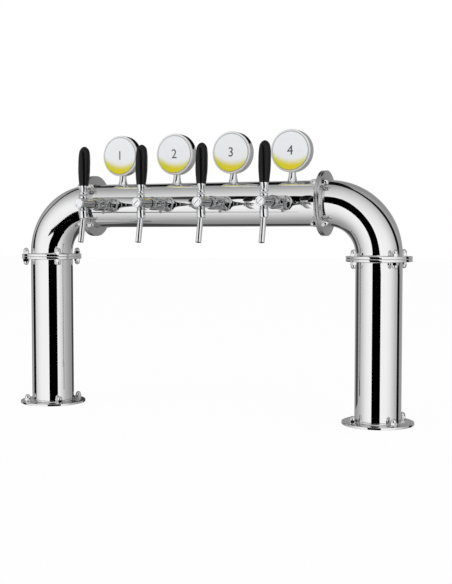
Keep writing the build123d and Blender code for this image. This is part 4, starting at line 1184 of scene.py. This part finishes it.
class LeversOperator(bpy.types.Operator):
    """Model the levers, ferrules and black handles"""
    bl_idname = "tower.levers"
    bl_label = "Levers and handles"
    finger_top = -4.8 * mm     # the finger leaves the ball here, below its centre

    def execute(self, context):
        tap = context.scene.tower_tap
        lever = context.scene.tower_lever
        ring_top = lever.ring_rise + lever.ring_t
        stud_foot = ring_top + lever.shoulder
        ferrule_top = stud_foot + lever.ferrule_h
        shaft = self.lever(lever, tap, ring_top, stud_foot)
        ferrule = turn("ferrule", [
            (4.05 * mm, stud_foot), (lever.ferrule_bottom_r, stud_foot),
            *flowing((lever.ferrule_bottom_r, stud_foot + 0.3 * mm), (0.25, 1),
                     (lever.ferrule_top_r, ferrule_top - mm), (0.1, 1), 14),
            (lever.ferrule_top_r, ferrule_top), (4.05 * mm, ferrule_top),
            (4.05 * mm, stud_foot)], 72)
        handle = self.handle(lever, ferrule_top)
        back = Matrix.Rotation(-lever.lean, 3, "X") @ row_up
        for number, x in enumerate(tap_places, start=1):
            body = f"tap_{number}_lever_arm"
            pivot = (x, -tap.lever_reach, bar_height + tap.pivot_rise)
            for source, label, slot, material in (
                    (shaft, "lever", "chrome_plate", chrome_plate()),
                    (ferrule, "ferrule", "chrome_plate", chrome_plate()),
                    (handle, "handle", "black_handle", black_handle())):
                piece = place(copy(source, f"tap_{number}_{label}_piece"), pivot, back)
                if label == "lever":
                    self.hang_finger(piece, Vector(pivot), lever.lean)
                deliver(piece, body, slot, [material], f"tap_{number}_{label}")
        discard(shaft, ferrule, handle)
        return {"FINISHED"}

    def hang_finger(self, piece, pivot, lean):
        """Turns the finger below the ball upright, as only the lever above it leans."""
        upright = Matrix.Rotation(lean, 3, "X")
        for vertex in piece.data.vertices:
            below = vertex.co - pivot
            if below.z < self.finger_top + 0.1 * mm:
                vertex.co = pivot + upright @ below

    def lever(self, lever, tap, ring_top, stud_foot):
        """Finger, ball, stem, ring and stud, turned in one."""
        finger_low = -tap.pivot_rise
        neck = sqrt(lever.ball_r**2 - lever.stem_r**2)
        return turn("lever", [
            *arc(0, finger_low, 2.2 * mm, -90, 50, 8),
            (1.4 * mm, finger_low + 2.0 * mm), (1.4 * mm, self.finger_top),
            *arc(0, 0, lever.ball_r, -73, 61, 16),
            (lever.stem_r, neck), (lever.stem_r, lever.ring_rise),
            *rim(tap.bonnet_r, lever.ring_rise, ring_top, 0.8 * mm),
            (lever.ferrule_bottom_r - 0.4 * mm, ring_top),
            (lever.ferrule_bottom_r - 0.4 * mm, stud_foot),
            (4.0 * mm, stud_foot), (4.0 * mm, stud_foot + 36 * mm),
            (3.0 * mm, stud_foot + 37 * mm), (0, stud_foot + 37 * mm)], 72)

    def handle(self, lever, foot):
        """A long rounded grip: slim foot, full middle and domed top."""
        top = foot + lever.handle_h
        belly = foot + 0.46 * lever.handle_h
        shoulder = top - lever.handle_shoulder_drop
        return turn("handle", [
            (0, foot), (lever.handle_foot_r - 0.8 * mm, foot),
            *arc(lever.handle_foot_r - 0.8 * mm, foot + 0.8 * mm, 0.8 * mm, -80, 0, 4),
            *flowing((lever.handle_foot_r, foot + 1.2 * mm), (0.12, 1),
                     (lever.handle_r, belly), (0, 1), 18),
            *flowing((lever.handle_r, belly + 0.5 * mm), (0, 1),
                     (lever.handle_shoulder_r, shoulder), (-0.18, 1), 14)[1:],
            *flowing((lever.handle_shoulder_r, shoulder), (-0.18, 1),
                     (0, top), (-1, 0), 16)[1:],
        ], 96)


class FlowLeversOperator(bpy.types.Operator):
    """Model the flow levers on the side of each tap"""
    bl_idname = "tower.flow_levers"
    bl_label = "Flow levers"

    def execute(self, context):
        tap = context.scene.tower_tap
        lever = context.scene.tower_lever
        knob_low = tap.hub_end + 0.4 * mm
        knob_high = knob_low + lever.knob_t
        spindle = turn("spindle", [
            (0, 9.2 * mm), (5.0 * mm, 9.2 * mm), (5.0 * mm, knob_low),
            (lever.knob_r - 0.5 * mm, knob_low),
            *arc(lever.knob_r - 0.5 * mm, knob_low + 0.5 * mm, 0.5 * mm, -90, 0, 3)[1:],
            *arc(lever.knob_r - 1.2 * mm, knob_high - 1.2 * mm, 1.2 * mm, 0, 90, 6),
            (2.2 * mm, knob_high), (1.6 * mm, knob_high - 0.6 * mm),
            (0, knob_high - 0.6 * mm)], 72)
        arm_level = knob_low + lever.knob_t / 2
        tip = Vector((lever.arm_forward, -lever.arm_drop, 0))
        reach = tip.length
        arm = turn("arm", [
            (0, 3.0 * mm), (2.3 * mm, 3.0 * mm),
            *flowing((2.3 * mm, 3.2 * mm), (-0.05, 1), (1.9 * mm, reach - 4.5 * mm),
                     (0, 1), 8),
            *arc(0, reach, lever.tip_r, -55, 90, 16)], 40)
        pin = turn("pin", [(0, 5.2 * mm), (1.4 * mm, 5.2 * mm), (1.4 * mm, 9.4 * mm),
                           (0, 9.4 * mm)], 24)
        for number, x in enumerate(tap_places, start=1):
            hub = Vector((x, -tap.hub_reach, bar_height))
            way = Vector((0, -lever.arm_forward, -lever.arm_drop)).normalized()
            parts = [
                place(copy(spindle, "spindle"), hub, row_right),
                place(copy(arm, "arm"), hub + arm_level * row_right, way),
                place(copy(pin, "pin"), hub + 3.0 * mm * row_up, row_right),
            ]
            piece = join(f"tap_{number}_flow_lever_piece", parts)
            deliver(piece, f"tap_{number}_flow_control", "chrome_plate", [cast_chrome()],
                    f"tap_{number}_flow_lever")
        discard(spindle, arm, pin)
        return {"FINISHED"}


class InnerFinishesOperator(bpy.types.Operator):
    """Give the fittings inside the tubes and taps their finishes"""
    bl_idname = "tower.inner_finishes"
    bl_label = "Inner finishes"

    def execute(self, context):
        tones = context.scene.tower_finish
        brass = plain_finish("bare_brass", tones.brass, 0.22, 1.0)
        rubber = plain_finish("black_rubber", tones.rubber, 0.6, 0.0, 1.6)
        seal = plain_finish("white_seal", tones.seal, 0.5, 0.0, 1.1)
        spindle = plain_finish("spindle_steel", tones.spindle, 0.25, 1.0)
        acetal = plain_finish("white_acetal", tones.acetal, 0.35, 0.0, 0.94)
        board = plain_finish("circuit_board", tones.board, 0.4, 0.0, 0.9)
        given = {
            "joint_gaskets": seal, "coupling_washers": rubber, "joint_studs": nut_steel(),
            "shank_saddle_washers": nut_steel(), "medallion_stem_nuts": nut_steel(),
            "tap_shanks": brass, "shank_back_nuts": brass, "valve_seats": brass,
            "medallion_led_boards": board,
        }
        for number in range(1, tap_count + 1):
            given[f"tap_{number}_valve_shaft"] = spindle
            given[f"tap_{number}_compensator"] = acetal
        for node, material in given.items():
            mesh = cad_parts[node].data
            mesh.materials.clear()
            mesh.materials.append(material)
        return {"FINISHED"}


studio_front = (0.17, -0.985)  # from above, the way to the studio's brightest wall
floor_white = 0.95             # share of the floor that the camera sees as plain white
flag_y = -1.5                  # the large front flags stand here
arch_x, arch_z = 0.35, 0.43    # ends and height of the line that the ribbons face
lamp_aim = Vector((0, 0, 0.35))


def standing(corners):
    """Corners (x, z) in the upright plane of the front flags."""
    return [(x, flag_y, z) for x, z in corners]


def lying(height, corners):
    """Corners (x, y) at one height."""
    return [(x, y, height) for x, y in corners]


def wing_fade(x, z):
    """Grey that pales downwards and to the left."""
    return 0.30 + (1.24 - z) * 1.05 + (-0.7 - x) * (0.2 + 1.5 * (z - 0.85))


class StageOperator(bpy.types.Operator):
    """Set the pale floor, the studio light, the black flags and the camera"""
    bl_idname = "tower.stage"
    bl_label = "Stage"

    def execute(self, context):
        stage = context.scene.tower_stage
        self.floor(stage)
        self.world(context.scene, stage)
        self.flags()
        self.lamps()
        deselect()
        bpy.ops.object.camera_add(
            location=stage.camera_place,
            rotation=(pi / 2 + stage.camera_pitch, 0, stage.camera_yaw))
        camera = context.object
        camera.data.lens = stage.lens / mm
        camera.data.sensor_width = 36.0
        camera.data.clip_end = 60.0
        context.scene.camera = camera
        context.scene.view_settings.view_transform = "Standard"
        return {"FINISHED"}

    def floor(self, stage):
        deselect()
        bpy.ops.mesh.primitive_plane_add(size=30, location=(0, 0, -0.2 * mm))
        floor = bpy.context.object
        floor.name = "studio_floor"
        material, tree = new_material("pale_floor")
        path = tree.add("ShaderNodeLightPath")
        seen = tree.wire(path, "Is Camera Ray")
        matte = tree.add("ShaderNodeBsdfDiffuse", None, {"Color": rgba(stage.floor)})
        glow = tree.add("ShaderNodeEmission", None, {"Color": plain_white, "Strength": 1.0})
        mixed = tree.add("ShaderNodeMixShader", None, {
            0: seen * floor_white, 1: tree.wire(matte), 2: tree.wire(glow)})
        tree.add("ShaderNodeOutputMaterial", None, {"Surface": tree.wire(mixed)})
        floor.data.materials.append(material)
        floor.visible_glossy = False

    def world(self, scene, stage):
        """White to the camera, a soft studio to metal and glass, plain light elsewhere."""
        world = bpy.data.worlds.new("studio")
        world.use_nodes = True
        scene.world = world
        tree = Tree(world.node_tree)
        x, y, z = tree.axes(tree.wire(tree.add("ShaderNodeTexCoord"), "Generated"))
        ahead = x * studio_front[0] + y * studio_front[1]
        # 0 at the studio's back, 1 at its front
        share = (ahead + 1.0) * 0.5
        level = share.ramp((0.0, 0.40), (0.14, stage.back_level), (0.30, 0.42),
                           (0.47, stage.side_level), (0.63, 0.73), (0.75, 0.89),
                           (0.86, 0.98), (1.0, stage.front_level))
        down = (-z).above(0.0, 1.0) * (0.12 + 0.3 * (1.0 - share))
        up = z.above(0.1, 0.9) * stage.roof_fall
        studio = level * (1.0 - down - up)
        path = tree.add("ShaderNodeLightPath")
        glossy = tree.wire(path, "Is Glossy Ray") + tree.wire(path, "Is Transmission Ray")
        seen = tree.wire(path, "Is Camera Ray")
        soft = tree.add("ShaderNodeBackground", None, {
            "Color": plain_white, "Strength": stage.ambient})
        mirrored = tree.add("ShaderNodeBackground", None, {"Color": studio})
        white = tree.add("ShaderNodeBackground", None, {"Color": plain_white})
        inner = tree.add("ShaderNodeMixShader", None, {
            0: glossy, 1: tree.wire(soft), 2: tree.wire(mirrored)})
        outer = tree.add("ShaderNodeMixShader", None, {
            0: seen, 1: tree.wire(inner), 2: tree.wire(white)})
        tree.add("ShaderNodeOutputWorld", None, {"Surface": tree.wire(outer)})

    def darken(self, flag, name, shade):
        """Shows a flag in reflections alone, in one grey or in a grey that varies."""
        flag.name = name
        material, tree = new_material(name)
        if callable(shade):
            x, _, z = tree.axes(tree.wire(tree.add("ShaderNodeTexCoord"), "Object"))
            grey = shade(x, z)
        else:
            grey = rgba([shade] * 3)
        glow = tree.add("ShaderNodeEmission", None, {"Color": grey, "Strength": 1.0})
        tree.add("ShaderNodeOutputMaterial", None, {"Surface": tree.wire(glow)})
        flag.data.materials.append(material)
        flag.visible_camera = False
        flag.visible_diffuse = False
        flag.visible_shadow = False
        flag.visible_transmission = False

    def flag(self, name, corners, shade=0.0):
        """A flat studio flag through its corners."""
        deselect()
        bpy.ops.mesh.primitive_circle_add(vertices=len(corners), radius=1, fill_type="NGON")
        flag = bpy.context.object
        for vertex, corner in zip(flag.data.vertices, corners):
            vertex.co = corner
        self.darken(flag, name, shade)

    def ribbon(self, name, stations, shade=0.0):
        """A narrow flag along stations (x, y, z, half width), its face to the tower."""
        deselect()
        bpy.ops.mesh.primitive_grid_add(x_subdivisions=len(stations) - 1, y_subdivisions=1,
                                        size=1)
        ribbon = bpy.context.object
        spots = [Vector(station[:3]) for station in stations]
        for number, (spot, station) in enumerate(zip(spots, stations)):
            ahead = spots[min(number + 1, len(spots) - 1)] - spots[max(number - 1, 0)]
            nearest = Vector((max(-arch_x, min(arch_x, spot.x)), 0, min(arch_z, spot.z)))
            across = ahead.cross(nearest - spot).normalized() * station[3]
            ribbon.data.vertices[number].co = spot - across
            ribbon.data.vertices[number + len(spots)].co = spot + across
        self.darken(ribbon, name, shade)

    def flags(self):
        """The large front flags, two low plates at the left and narrow ribbons all round."""
        left, right = Vector((-0.071, -1.513)), Vector((0.685, -0.749))
        along = (right - left).normalized()
        edge = [(-0.03, -1.5), (1.12, -1.5), (1.11, 0.30), (1.02, 0.37), (0.88, 0.64),
                (0.78, 0.76), (0.58, 1.04), (0.42, 1.20), (0.14, 1.35), (-0.03, 1.42)]
        self.flag("front_flag", [(*(left + along * reach), z) for reach, z in edge])
        # Corners that the parts of the wing share, from its root out to its end.
        root_low, root_high = (-0.61, 1.19), (-0.61, 1.75)
        tip_low, tip_high = (-0.92, 1.36), (-0.92, 1.85)
        root_sag, tip_sag = (-0.78, 1.26), (-1.08, 1.50)
        self.flag("wing_flag", [
            (*left, 0.45), (*left, 1.42), (-0.21, -1.51, 1.43),
            *standing([(-0.35, 1.59), root_high, root_low, (-0.50, 1.17), (-0.44, 1.03),
                       (-0.24, 0.68), (-0.13, 0.54)])])
        self.flag("wing_tip", standing([root_low, root_high, tip_high, tip_low, root_sag]),
                  0.06)
        self.flag("wing_end", standing([tip_low, tip_high, (-1.40, 1.98), (-1.40, 1.70),
                                        tip_sag]), 0.28)
        self.flag("wing_fade", standing([(-0.52, 0.70), (-0.52, 1.17), root_low, root_sag,
                                         tip_low, tip_sag, (-1.25, 1.60), (-1.25, 0.80)]),
                  wing_fade)
        self.flag("low_plate", lying(0.38, [
            (-0.330, -0.050), (-0.333, -0.075), (-0.344, -0.100), (-0.353, -0.125),
            (-0.358, -0.140), (-0.366, -0.152), (-0.380, -0.178), (-0.410, -0.232),
            (-0.418, -0.226), (-0.390, -0.180), (-0.377, -0.160), (-0.366, -0.140),
            (-0.360, -0.118), (-0.351, -0.085), (-0.346, -0.050)]))
        self.flag("thin_plate", lying(0.37, [
            (-0.36, -0.194), (-0.26, -0.184), (-0.10, -0.170), (0.20, -0.1435),
            (0.20, -0.1385), (-0.10, -0.154), (-0.26, -0.157), (-0.36, -0.160)]), 0.10)
        self.flag("rear_left_flag", [(-0.46, 0.17, -0.09), (-0.215, 0.42, -0.09),
                                     (-0.215, 0.42, 0.33), (-0.46, 0.17, 0.33)], 0.06)
        self.ribbon("arch_ribbon", [
            (0.536, 0.04, -0.1, 0.021), (0.536, 0.04, 0.32, 0.021),
            (0.64, 0.10, 0.37, 0.036), (0.673, 0.114, 0.40, 0.040),
            (0.676, 0.078, 0.49, 0.040), (0.655, 0.052, 0.57, 0.038),
            (0.615, 0.029, 0.63, 0.036), (0.561, 0.010, 0.69, 0.032),
            (0.487, 0.0, 0.74, 0.027), (0.40, 0.015, 0.765, 0.024),
            (0.26, 0.09, 0.76, 0.065), (0.14, 0.133, 0.727, 0.080),
            (-0.25, 0.133, 0.727, 0.060), (-0.46, 0.093, 0.713, 0.030),
            (-0.543, 0.006, 0.69, 0.020), (-0.607, -0.048, 0.632, 0.020),
            (-0.642, -0.051, 0.582, 0.020), (-0.675, -0.033, 0.537, 0.022),
            (-0.694, -0.030, 0.488, 0.028), (-0.690, -0.045, 0.42, 0.040),
            (-0.680, -0.062, 0.36, 0.054), (-0.680, -0.062, -0.1, 0.054)], 0.005)
        self.ribbon("rear_ribbon", [
            (-2.00, 1.98, -1.56, 0.85), (-0.2, 1.98, -1.56, 0.85)], 0.04)

    def lamps(self):
        """Two large soft lamps, which metal doesn't mirror."""
        for name, spot, size, power in (
                ("left_softbox", (-2.2, -2.4, 2.4), 2.2, 26.0),
                ("right_softbox", (2.8, -1.8, 2.2), 2.0, 18.0)):
            aim = (lamp_aim - Vector(spot)).to_track_quat("-Z", "Y")
            deselect()
            bpy.ops.object.light_add(type="AREA", location=spot, rotation=aim.to_euler())
            lamp = bpy.context.object
            lamp.name = name
            lamp.data.size = size
            lamp.data.energy = power
            lamp.visible_glossy = False


operators = [ColumnsOperator, ElbowsOperator, CrossbarOperator, FlangesOperator, NutsOperator,
             MedallionsOperator, StemsOperator, TapMountsOperator, TapBodiesOperator,
             SpoutsOperator, LeversOperator, FlowLeversOperator, InnerFinishesOperator,
             StageOperator]


class BeerTowerPanel(bpy.types.Panel):
    """The tower's sizes, colours and pieces"""
    bl_idname = "VIEW3D_PT_beer_tower"
    bl_label = "Beer tower"
    bl_space_type = "VIEW_3D"
    bl_region_type = "UI"
    bl_category = "Beer tower"

    def draw(self, context):
        for operator in operators:
            self.layout.operator(operator.bl_idname)
        for holder in groups:
            group = getattr(context.scene, holder)
            box = self.layout.box()
            box.label(text=holder.replace("_", " "))
            for name in group.__annotations__:
                box.prop(group, name)


def register():
    for holder, group in groups.items():
        bpy.utils.register_class(group)
        setattr(bpy.types.Scene, holder, PointerProperty(type=group))
    for cls in (*operators, BeerTowerPanel):
        bpy.utils.register_class(cls)


def unregister():
    for cls in (BeerTowerPanel, *reversed(operators)):
        bpy.utils.unregister_class(cls)
    for holder, group in reversed(list(groups.items())):
        delattr(bpy.types.Scene, holder)
        bpy.utils.unregister_class(group)


def main():
    register()
    for operator in operators:
        group, name = operator.bl_idname.split(".")
        getattr(getattr(bpy.ops, group), name)()


if __name__ == "__main__":
    main()
